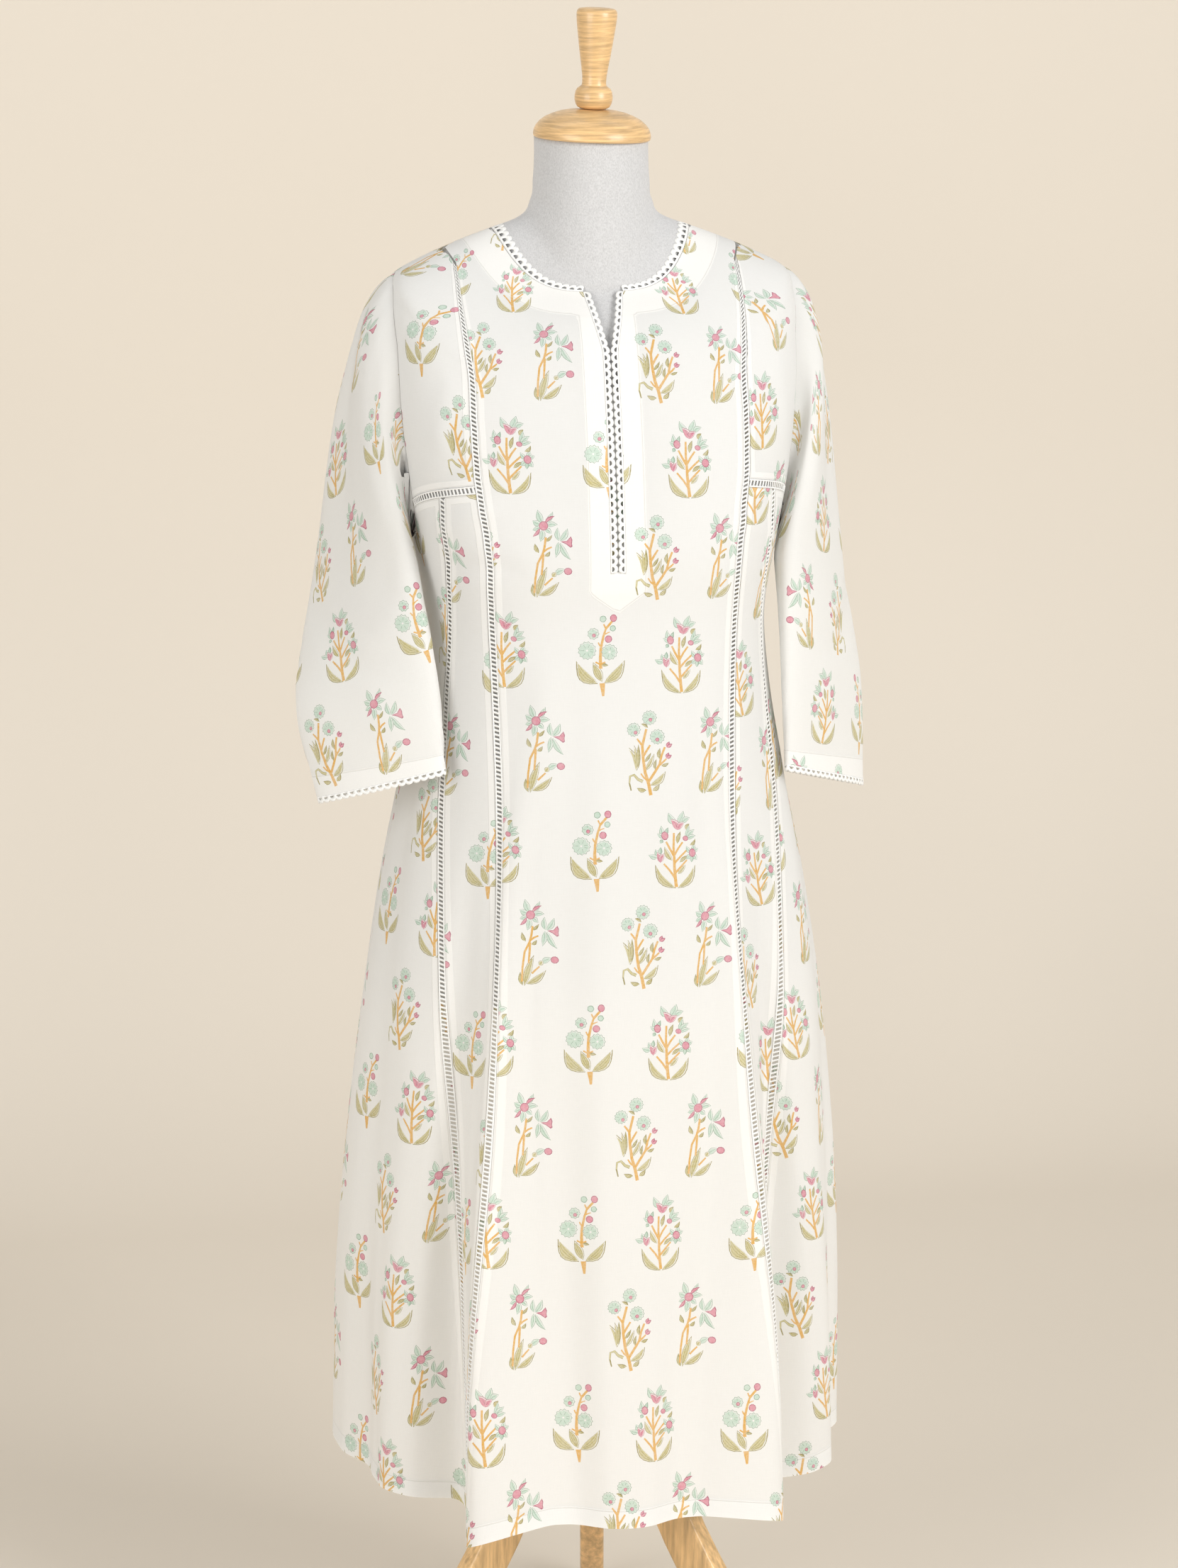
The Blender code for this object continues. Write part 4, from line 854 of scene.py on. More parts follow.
class FlatCut:
    """A surface rolled out flat from its middle column and one level row.

    It knows the flat place of each point of a grid of the surface's two values, and finds the values back
    from a flat place.
    """

    def __init__(self, surface, columns, rows, level=0):
        self.columns, self.rows = np.broadcast_arrays(columns, rows[:, None])
        points = self.points = surface(self.columns, self.rows)
        steps = np.linalg.norm(np.diff(points, axis=1), axis=2)
        run = np.concatenate((np.zeros((len(rows), 1)), np.cumsum(steps, axis=1)), axis=1)
        middle = points.shape[1] // 2
        across = run - run[:, middle: middle + 1]
        rise = np.linalg.norm(np.diff(points, axis=0), axis=2)
        up = np.concatenate((np.zeros((1, points.shape[1])), np.cumsum(rise, axis=0)))
        up += up[level, middle] - up[level]
        self.flat = np.stack((across, up), axis=2)

    def on_surface(self, flat):
        """The surface's two values at places on the flat cut, which may lie a little beyond its edges."""
        middle = self.flat.shape[1] // 2
        row = np.interp(flat[:, 1], self.flat[:, middle, 1], np.arange(len(self.flat), dtype=float))
        column = np.empty(len(flat))
        for number in range(0, len(self.flat), 4):
            here = (row >= number) & (row < number + 4)
            column[here] = np.interp(flat[here, 0], self.flat[number, :, 0], np.arange(self.flat.shape[1]))
        last = np.array(self.flat.shape[:2]) - 2
        for _ in range(9):
            low_row = np.clip(np.floor(row), 0, last[0]).astype(int)
            low_column = np.clip(np.floor(column), 0, last[1]).astype(int)
            down, over = (row - low_row)[:, None], (column - low_column)[:, None]
            a, b = self.flat[low_row, low_column], self.flat[low_row, low_column + 1]
            c, d = self.flat[low_row + 1, low_column], self.flat[low_row + 1, low_column + 1]
            miss = flat - (a * (1 - down) + c * down) * (1 - over) - (b * (1 - down) + d * down) * over
            by_row = (c - a) * (1 - over) + (d - b) * over
            by_column = (b - a) * (1 - down) + (d - c) * down
            size = by_row[:, 0] * by_column[:, 1] - by_row[:, 1] * by_column[:, 0]
            row = row + np.clip((miss[:, 0] * by_column[:, 1] - miss[:, 1] * by_column[:, 0]) / size, -12, 12)
            column = column + np.clip((by_row[:, 0] * miss[:, 1] - by_row[:, 1] * miss[:, 0]) / size, -12, 12)
        low_row = np.clip(np.floor(row), 0, last[0]).astype(int)
        low_column = np.clip(np.floor(column), 0, last[1]).astype(int)
        down, over = row - low_row, column - low_column
        rise = self.rows[low_row + 1, 0] - self.rows[low_row, 0]
        first = self.columns[low_row, low_column]
        wide = self.columns[low_row, low_column + 1] - first
        lean = self.columns[low_row + 1, low_column] - first
        return first + wide * over + lean * down, self.rows[low_row, 0] + rise * down

    def flat_place(self, place):
        """Where the grid's point nearest to a place in space lies on the cut."""
        off = ((self.points - place) ** 2).sum(axis=2)
        return self.flat[np.unravel_index(off.argmin(), off.shape)]

    def extent(self, inside):
        """The lowest and highest place on the cut at which inside is true."""
        kept = self.flat[inside(self.columns, self.rows)]
        return kept.min(axis=0), kept.max(axis=0)


def body_cut(middle, low, high, half_angle):
    """The flat cut of a stretch of the body round this angle, from one height to another."""
    rows = np.arange(low - 0.012, high + 0.012, 0.006)
    around = np.radians(np.arange(-half_angle, half_angle + 0.1, 1.0))
    return FlatCut(cloth_point, middle + around, rows, np.argmin(np.abs(rows - 1.06)))


def cut_along(shape, value):
    """Cuts the flat mesh of (angle, height) points where value is zero, and keeps both sides."""
    places = np.array([vert.co[:2] for vert in shape.verts])
    for vert, found in zip(shape.verts, value(places[:, 0], places[:, 1])):
        vert.co.z = found
    geometry = shape.verts[:] + shape.edges[:] + shape.faces[:]
    bmesh.ops.bisect_plane(shape, geom=geometry, dist=1e-6, plane_co=(0, 0, 0), plane_no=(0, 0, 1))
    for vert in shape.verts:
        vert.co.z = 0.0


def printed_piece(name, cloth_print, flat_cut, cuts, inside, point, normal, marks, depth=0.0):
    """One cut piece of printed cloth laid on its surface, with its inks, its flat cut as UV and its marks."""
    low, high = flat_cut.extent(inside)
    motif, *place, lean = PRINT_PLACES[name]
    flat, faces, inks = cloth_print.over(low, high, motif, flat_cut.flat_place(place), lean)
    column, row = flat_cut.on_surface(flat)
    data = bpy.data.meshes.new(f"{name}_sheet")
    data.from_pydata(np.stack((column, row, np.zeros(len(row))), axis=1).tolist(), [], faces.tolist())
    data.uv_layers.new(name="cut").uv.foreach_set("vector", flat[faces].reshape(-1))
    ink_layer = data.attributes.new("ink_number", "INT", "FACE")
    ink_layer.data.foreach_set("value", inks.astype(np.int32))
    shape = bmesh.new()
    shape.from_mesh(data)
    for cut in cuts:
        cut_along(shape, cut)
    centres = np.array([face.calc_center_median()[:2] for face in shape.faces])
    kept = inside(centres[:, 0], centres[:, 1])
    spare = [face for face, keep in zip(shape.faces, kept) if not keep]
    bmesh.ops.delete(shape, geom=spare, context="FACES")
    bmesh.ops.delete(shape, geom=[vert for vert in shape.verts if not vert.link_faces], context="VERTS")
    bmesh.ops.triangulate(shape, faces=shape.faces[:])
    shape.to_mesh(data)
    shape.free()
    laid_on_body(data, point, normal, marks, depth)
    return add_piece(f"{name}_cloth", data)


def laid_on_body(data, point, normal, marks, depth):
    """Moves a flat mesh of surface values to its place in the world and gives it normals, inks and marks."""
    count = len(data.vertices)
    places = np.empty(count * 3)
    data.vertices.foreach_get("co", places)
    column, row = places.reshape(-1, 3)[:, 0], places.reshape(-1, 3)[:, 1]
    outward = normal(column, row)
    where = point(column, row) - outward * depth + AXIS
    data.vertices.foreach_set("co", where.reshape(-1))
    for label, mark in marks.items():
        data.attributes.new(label, "FLOAT", "POINT").data.foreach_set("value", mark(column, row))
    numbers = np.zeros(len(data.polygons), np.int32)
    if "ink_number" in data.attributes:
        data.attributes["ink_number"].data.foreach_get("value", numbers)
        data.attributes.remove(data.attributes["ink_number"])
    colours = ink_colours()[numbers]
    sizes = np.empty(len(data.polygons), np.int32)
    data.polygons.foreach_get("loop_total", sizes)
    layer = data.attributes.new("ink", "FLOAT_COLOR", "CORNER")
    layer.data.foreach_set("color", np.repeat(colours, sizes, axis=0).reshape(-1))
    data.update()
    turned = np.empty(len(data.polygons) * 3)
    data.polygons.foreach_get("normal", turned)
    firsts = np.array([polygon.vertices[0] for polygon in data.polygons])
    if (turned.reshape(-1, 3) * outward[firsts]).sum() < 0:
        data.flip_normals()
    data.shade_smooth()
    data.normals_split_custom_set_from_vertices(outward.tolist())


def ink_colours():
    """Each ink's colour, with how much of it lies on the cloth as alpha."""
    inks = bpy.context.scene.kurta_inks
    drawn = [(*getattr(inks, ink.replace("_vein", "_line")), 1.0) for ink in INKS[1:]]
    return np.array([(1.0, 1.0, 1.0, 0.0)] + drawn)


def add_piece(name, data):
    """A new object at the origin that rides on the root body."""
    piece = bpy.data.objects.new(name, data)
    bpy.context.scene.collection.objects.link(piece)
    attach(piece, BODY)
    return piece


def dress(piece, slot, material, *nodes):
    """Gives a piece its material and hides the nodes that it stands for. Its slot is not used."""
    piece.data.materials.clear()
    piece.data.materials.append(material)
    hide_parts(*nodes)
    return piece


def declare_cloth(piece):
    """Reads a piece's flat cut from its UV map, and does nothing more with it."""
    data = piece.data
    flat = np.empty(len(data.loops) * 2)
    data.uv_layers["cut"].uv.foreach_get("vector", flat)
    flat = flat.reshape(-1, 3, 2)


def body_normal(angle, height):
    return normals_of(creased_cloth, angle, height)


def near_lace(seams):
    """How far a point lies from the edge of the nearest ladder lace beside it, in metres."""
    def mark(angle, height):
        side = np.abs(np.where(angle > math.pi, angle - 2 * math.pi, angle))
        nearest = np.full(angle.shape, 1.0)
        for seam, above, below in seams:
            middle = seam_angle(seam, height)
            metre = 1 / angle_for(1.0, middle, height)
            distance = np.abs(side - middle) * metre - LACE_WIDTH / 2
            distance = np.where((height < above) | (height > below), 1.0, distance)
            nearest = np.minimum(nearest, distance)
        return nearest
    return mark


def near_yoke_lace(angle, height):
    """How far a point lies from the edge of the yoke lace, up or down the cloth."""
    middle = yoke_lace_height(angle, 0.0)
    return np.abs(height - middle) / height_for(1.0, angle, middle) - LACE_WIDTH / 2


def above_hem(angle, height):
    return (height - HEM) / height_for(1.0, angle, height)


def far_away(angle, height):
    return np.full(angle.shape, 1.0)


def marks_of(**marks):
    """A piece's marks: how far each point is from its lace, yoke lace and hem, and inside its facing."""
    plain = {"from_lace": far_away, "from_yoke_lace": far_away, "from_hem": far_away}
    return {**plain, "into_facing": lambda column, row: -far_away(column, row), **marks}


def front_facing(angle, height):
    """How far a point lies inside the outline of the front's facings, negative outside it."""
    inside = PLACKET_HALF_WIDTH - np.abs(ring_point(angle, height)[..., 0])
    above_tip = (height - PLACKET_TIP) + np.clip(inside, 0, PLACKET_HALF_WIDTH) * 0.72
    band = (height - FACING_LOW) / height_for(1.0, angle, height)
    return np.maximum(np.minimum(inside, above_tip * 0.8), band)


def colour_property(name, description, colour):
    return bpy.props.FloatVectorProperty(
        name=name, description=description, subtype="COLOR", size=3, default=colour, min=0.0, max=1.0)


def length_property(name, description, length, low, high):
    return bpy.props.FloatProperty(
        name=name, description=description, subtype="DISTANCE", unit="LENGTH",
        default=length, min=low, max=high)


def power_property(name, description, power):
    return bpy.props.FloatProperty(
        name=name, description=description, subtype="POWER", unit="POWER",
        default=power, min=0.0, max=2000.0)


class ClothSettings(bpy.types.PropertyGroup):
    """The cambric and how the print takes on it."""

    colour: colour_property("Cloth colour", "Colour of the bleached cambric", (0.87, 0.87, 0.855))
    facing: colour_property("Doubled cloth", "Colour where the cloth lies double", (0.885, 0.88, 0.86))
    see_through: bpy.props.FloatProperty(
        name="See-through", description="Share of the light that comes through one layer", subtype="FACTOR",
        default=0.30, min=0.0, max=0.6)


class InkSettings(bpy.types.PropertyGroup):
    """The block printer's colours."""

    sage: colour_property("Sage", "Fill of flowers and buds", (0.56, 0.70, 0.60))
    sage_line: colour_property("Sage line", "Outline of flowers and buds", (0.24, 0.38, 0.27))
    leaf: colour_property("Leaf", "Fill of the leaves", (0.60, 0.54, 0.27))
    leaf_line: colour_property("Leaf line", "Outline and veins of the leaves", (0.32, 0.27, 0.08))
    stem: colour_property("Stem", "Mustard of the stems", (0.75, 0.42, 0.085))
    rose: colour_property("Rose", "Fill of hearts, buds and petals", (0.70, 0.27, 0.35))
    rose_line: colour_property("Rose line", "Outline of hearts, buds and petals", (0.43, 0.10, 0.17))


class LaceSettings(bpy.types.PropertyGroup):
    """The inserted ladder lace and the scalloped edge lace."""

    rung_pitch: length_property("Rung pitch", "Distance between two rungs", 0.0043, 0.003, 0.01)
    rung_slant: length_property("Rung slant", "How far a rung climbs across the lace", 0.0014, 0.0, 0.004)
    scallop_pitch: length_property("Scallop pitch", "Width of one scallop", 0.0078, 0.005, 0.012)
    colour: colour_property("Lace colour", "Colour of the cotton thread", (0.88, 0.88, 0.86))


class StandSettings(bpy.types.PropertyGroup):
    """The dress form's cover and its wood."""

    jersey: colour_property("Cover", "Colour of the form's woven cover", (0.57, 0.57, 0.575))
    wood: colour_property("Wood", "Colour of the varnished wood", (0.72, 0.47, 0.22))
    edge_round: length_property("Rounded edges", "Radius of the legs' sanded edges", 0.004, 0.001, 0.008)


class StageSettings(bpy.types.PropertyGroup):
    """Backdrop, light and camera."""

    backdrop: colour_property("Backdrop", "Colour of the paper sweep", (0.73, 0.67, 0.585))
    key_power: power_property("Key light", "Power of the large light at the right", 150.0)
    fill_power: power_property("Fill light", "Power of the light at the left", 85.0)
    sweep_power: power_property("Sweep light", "Power of the light on the backdrop", 14.0)


class Finish:
    """A new material, and the nodes that make it up."""

    def __init__(self, name, **shine):
        self.material = bpy.data.materials.new(name)
        self.material.use_nodes = True
        self.nodes, self.links = self.material.node_tree.nodes, self.material.node_tree.links
        self.shader = self.nodes["Principled BSDF"]
        for socket, value in shine.items():
            self.shader.inputs[socket.replace("_", " ")].default_value = value

    def node(self, kind, output, **inputs):
        """A node's output, with some of its inputs set or linked by name."""
        node = self.nodes.new(f"ShaderNode{kind}")
        for name, given in inputs.items():
            self.put(node.inputs[name.replace("_", " ")], given)
        return node.outputs[output]

    def put(self, socket, given):
        """Sets a socket to a number or a colour, or links an output to it."""
        if isinstance(given, bpy.types.NodeSocket):
            self.links.new(given, socket)
        elif socket.type == "RGBA":
            socket.default_value = (*given, 1.0)
        else:
            socket.default_value = given

    def place(self):
        return self.node("TexCoord", "Object")

    def mark(self, label):
        """The value of an attribute that a piece's maker has left on it."""
        value = self.node("Attribute", "Fac")
        value.node.attribute_name = label
        return value

    def noise(self, vector, scale, detail=3.0, roughness=0.55):
        """Noise with its own scale along each axis."""
        scaled = self.node("Mapping", "Vector", Vector=vector, Scale=scale)
        return self.node("TexNoise", "Fac", Vector=scaled, Scale=1.0, Detail=detail, Roughness=roughness)

    def between(self, value, low, high, to_low=0.0, to_high=1.0):
        """A value moved from one range to another, and kept inside it."""
        node = self.node("MapRange", "Result", Value=value, From_Min=low, From_Max=high)
        self.put(node.node.inputs["To Min"], to_low)
        self.put(node.node.inputs["To Max"], to_high)
        return node

    def math(self, operation, first, second=0.0):
        """Two values, or a value and a number, put together."""
        result = self.node("Math", 0)
        result.node.operation = operation
        self.put(result.node.inputs[0], first)
        self.put(result.node.inputs[1], second)
        return result

    def mixed(self, share, first, second):
        """Two colours mixed by a share."""
        mix = self.node("Mix", 2)
        mix.node.data_type = "RGBA"
        for number, given in ((0, share), (6, first), (7, second)):
            self.put(mix.node.inputs[number], given)
        return mix

    def mix_with(self, shader, share):
        """Mixes another shader into the main one by a share."""
        mix = self.node("MixShader", 0)
        for socket, given in zip(mix.node.inputs, (share, self.shader.outputs[0], shader)):
            self.put(socket, given)
        self.put(self.nodes["Material Output"].inputs["Surface"], mix)

    def finished(self, colour, height, distance, strength=1.0):
        """Links the colour and a bump of this height to the shader, and gives the material."""
        self.put(self.shader.inputs["Base Color"], colour)
        normal = self.node("Bump", "Normal", Height=height, Distance=distance, Strength=strength)
        self.put(self.shader.inputs["Normal"], normal)
        return self.material


def shade_of(colour, share):
    """A colour made darker or lighter."""
    return tuple(min(value * share, 1.0) for value in colour)


def printed_cambric():
    """Fine white cambric with block-printed inks, doubled and stitched at its edges and seams, with painted
    shade along the stitch lines.
    """
    cloth = bpy.context.scene.kurta_cloth
    finish = Finish(
        "block printed cambric",
        Roughness=0.82, Specular_IOR_Level=0.25, Sheen_Weight=0.18, Sheen_Roughness=0.5)
    cut = finish.node("UVMap", "UV")
    cut.node.uv_map = "cut"
    across = finish.noise(cut, (90.0, 1300.0, 1.0), 2.0)
    along = finish.noise(cut, (1300.0, 90.0, 1.0), 2.0)
    threads = finish.math("MULTIPLY", finish.math("ADD", across, along), 0.5)
    hem, facing = finish.mark("from_hem"), finish.mark("into_facing")
    nearest = finish.math("MINIMUM", finish.mark("from_lace"), finish.mark("from_yoke_lace"))
    allowance = finish.between(nearest, 0.0076, 0.0070)
    turning = finish.between(hem, HEM_TURNING + 0.0003, HEM_TURNING - 0.0003)
    lined = finish.between(facing, -0.0003, 0.0003)
    doubled = finish.math("MAXIMUM", allowance, finish.math("MAXIMUM", turning, lined))
    stitched = 0.0
    for value, at in ((nearest, 0.0012), (hem, HEM_TURNING - 0.0014), (facing, 0.0016)):
        off = finish.math("ABSOLUTE", finish.math("SUBTRACT", value, at))
        stitched = finish.math("MAXIMUM", finish.between(off, 0.0006, 0.0002), stitched)
    ground = finish.mixed(doubled, cloth.colour, cloth.facing)
    ground = finish.mixed(finish.between(threads, 0.35, 0.65, 0.07, 0.0), ground, (0.55, 0.53, 0.48))
    # Painted shade: the stitch lines are darkened with grey, as shade in their dent.
    ground = finish.mixed(finish.math("MULTIPLY", stitched, 0.22), ground, (0.50, 0.48, 0.43))
    ink = finish.mark("ink").node.outputs
    uneven = finish.between(finish.noise(cut, (420.0, 420.0, 1.0), 4.0, 0.65), 0.30, 0.60, 0.72, 1.0)
    patchy = finish.between(finish.noise(cut, (60.0, 60.0, 1.0), 2.0), 0.3, 0.7, 0.86, 1.0)
    amount = finish.math("MULTIPLY", finish.math("MULTIPLY", uneven, patchy), ink["Alpha"])
    colour = finish.mixed(amount, ground, ink["Color"])
    relief = finish.math("MULTIPLY", threads, 0.00012)
    relief = finish.math("ADD", relief, finish.math("MULTIPLY", doubled, 0.0004))
    relief = finish.math("SUBTRACT", relief, finish.math("MULTIPLY", stitched, 0.0004))
    material = finish.finished(colour, relief, 1.0, 0.6)
    normal = finish.shader.inputs["Normal"].links[0].from_socket
    glow = finish.node("BsdfTranslucent", 0, Color=colour, Normal=normal)
    finish.mix_with(glow, finish.math("ADD", finish.math("MULTIPLY", doubled, -0.08), cloth.see_through))
    return material


def plain_cambric():
    """Undyed doubled cambric, for turnings and facings."""
    cloth = bpy.context.scene.kurta_cloth
    finish = Finish("plain cambric", Roughness=0.85, Sheen_Weight=0.15)
    threads = finish.noise(finish.place(), (900.0, 900.0, 200.0), 2.0)
    colour = finish.mixed(finish.between(threads, 0.3, 0.7), cloth.facing, cloth.colour)
    return finish.finished(colour, threads, 0.0001)


def lace_cotton():
    """Corded white cotton with its plies and a little fuzz."""
    lace = bpy.context.scene.kurta_lace
    finish = Finish("lace cotton", Roughness=0.78, Sheen_Weight=0.25)
    plies = finish.noise(finish.place(), (1400.0, 1400.0, 1400.0), 3.0, 0.6)
    colour = finish.mixed(finish.between(plies, 0.35, 0.65), shade_of(lace.colour, 0.86), lace.colour)
    return finish.finished(colour, plies, 0.0003)


def grey_jersey():
    """The form's pale grey cover, close woven with faint darker threads."""
    stand = bpy.context.scene.kurta_stand
    finish = Finish("grey jersey", Roughness=0.92, Sheen_Weight=0.3)
    place = finish.place()
    threads = finish.noise(place, (900.0, 900.0, 500.0), 3.0, 0.7)
    flecks = finish.noise(place, (220.0, 220.0, 420.0), 2.0)
    colour = finish.mixed(finish.between(threads, 0.35, 0.62), shade_of(stand.jersey, 0.80), stand.jersey)
    share = finish.between(flecks, 0.5, 0.75, 0.0, 0.25)
    colour = finish.mixed(share, colour, shade_of(stand.jersey, 1.15))
    return finish.finished(colour, threads, 0.0004, 0.5)


def varnished_wood(name, grain_scale):
    """Pale varnished wood whose grain runs where grain_scale is smallest."""
    wood = bpy.context.scene.kurta_stand.wood
    finish = Finish(name, Roughness=0.38, Coat_Weight=0.35, Coat_Roughness=0.18)
    place = finish.place()
    grain = finish.noise(place, grain_scale, 6.0, 0.6)
    pores = finish.noise(place, tuple(v * 7 for v in grain_scale), 3.0, 0.7)
    colour = finish.mixed(finish.between(grain, 0.35, 0.68), shade_of(wood, 0.68), shade_of(wood, 1.22))
    colour = finish.mixed(finish.between(pores, 0.6, 0.8, 0.0, 0.35), colour, shade_of(wood, 0.45))
    return finish.finished(colour, grain, 0.0003, 0.25)


def material_once(name, make, *given):
    return bpy.data.materials.get(name) or make(*given)


def lace_strip(name, place, length, template, pitch):
    """Repeats a template of (along, across, lift) points and faces along a strip and puts it in place."""
    points, faces = template
    count = max(round(length / pitch), 1)
    step = length / count
    all_points = np.concatenate([points * (step / pitch, 1, 1) + (i * step, 0, 0) for i in range(count)])
    all_faces = [tuple(index + i * len(points) for index in face) for i in range(count) for face in faces]
    data = bpy.data.meshes.new(name)
    data.from_pydata((place(*all_points.T) + AXIS).tolist(), [], all_faces)
    data.validate()
    shape = bmesh.new()
    shape.from_mesh(data)
    bmesh.ops.remove_doubles(shape, verts=shape.verts[:], dist=2e-5)
    bmesh.ops.recalc_face_normals(shape, faces=shape.faces[:])
    shape.to_mesh(data)
    shape.free()
    data.shade_smooth()
    return add_piece(f"{name}_trim", data)


def bar(start, end, half_width, half_height, stations=2, swell=0.0):
    """A square-section bar between two (along, across) points, as points and faces, open at its ends."""
    start, end = np.array(start, float), np.array(end, float)
    along = (end - start) / np.linalg.norm(end - start)
    side = np.array((-along[1], along[0]))
    points, faces = [], []
    for i in range(stations):
        share = i / (stations - 1)
        middle = start + (end - start) * share
        width = half_width * (1 + swell * math.sin(share * math.pi))
        for w, h in ((-1, 0), (0, 1), (1, 0), (0, -1)):
            points.append((*(middle + side * w * width), h * half_height))
    for i in range(stations - 1):
        for j in range(4):
            k = (j + 1) % 4
            faces.append((i * 4 + j, i * 4 + k, i * 4 + 4 + k, i * 4 + 4 + j))
    return np.array(points), faces


def ladder_template(pitch, slant, width):
    """One step of ladder lace: two rails and a slanted rung."""
    rail = width / 2 - 0.0008
    pieces = [
        bar((0, -rail), (pitch, -rail), 0.00095, 0.0006, 3, 0.12),
        bar((0, rail), (pitch, rail), 0.00095, 0.0006, 3, 0.12),
        bar((pitch * 0.3, -rail), (pitch * 0.3 + slant, rail), 0.0011, 0.0005, 4, 0.2),
    ]
    points, faces = [], []
    for part, part_faces in pieces:
        faces += [tuple(index + len(points) for index in face) for face in part_faces]
        points += part.tolist()
    return np.array(points), faces


def scallop_template(pitch, width):
    """One scallop of edge lace: a straight foot, a D-shaped hole and a round outer edge."""
    arc = [
        (pitch / 2 + math.cos(turn) * pitch / 2, 0.0046 + math.sin(turn) * (width - 0.0046))
        for turn in np.linspace(0, math.pi, 9)
    ]
    outline = [(0, 0), (pitch / 2, 0), (pitch, 0), (pitch, 0.0022)] + arc + [(0, 0.0022)]
    hole = [(pitch / 2 - 0.0024, 0.0015), (pitch / 2 + 0.0024, 0.0015)] + [
        (pitch / 2 + math.cos(turn) * 0.0024, 0.0017 + math.sin(turn) * 0.0022)
        for turn in np.linspace(0.15, math.pi - 0.15, 7)
    ]
    places = [Vector(point) / MM for point in outline + hole]
    loops = [list(range(len(outline))), list(range(len(outline), len(places)))]
    points, _, faces, _, _, found = delaunay_2d_cdt(places, [], loops, 1, 1e-4)
    flat = np.array([tuple(point) for point in points]) * MM
    kept = [tuple(face) for face, drawn in zip(faces, found) if 0 in drawn and 1 not in drawn]
    lift = 0.0002 * np.sin(np.clip(flat[:, 1] / width, 0, 1) * math.pi)
    return np.column_stack((flat, lift)), kept


def distance_table(points):
    """The run along a line of points."""
    steps = np.linalg.norm(np.diff(points, axis=0), axis=1)
    return np.concatenate(([0.0], np.cumsum(steps)))


def along_seam(seam, side, low, high):
    """A place function for a strip along a seam, and the strip's length."""
    heights = np.linspace(low, high, 600)
    run = distance_table(creased_cloth(SIDES[side] * seam_angle(seam, heights), heights))

    def place(along, across, lift):
        height = np.interp(along, run, heights)
        angle = seam_angle(seam, height)
        angle = SIDES[side] * (angle + angle_for(across, angle, height))
        return lace_point(angle, height, lift)

    return place, run[-1]


def lace_point(angle, height, lift):
    """A point of a lace that is let into the cloth."""
    return creased_cloth(angle, height) + (lift - LACE_SINK)[:, None] * body_normal(angle, height)


class KurtaOperator:
    """What the builders share."""

    bl_options = {"REGISTER", "UNDO"}


def sewn_to_body(name, cloth_print, material, cut, cuts, inside, marks, depth=0.0):
    """Lays a printed piece on the body, gives it its material and hides the node that it stands for."""
    piece = printed_piece(name, cloth_print, cut, cuts, inside, creased_cloth, body_normal, marks, depth)
    declare_cloth(dress(piece, "white_cambric", material, name))


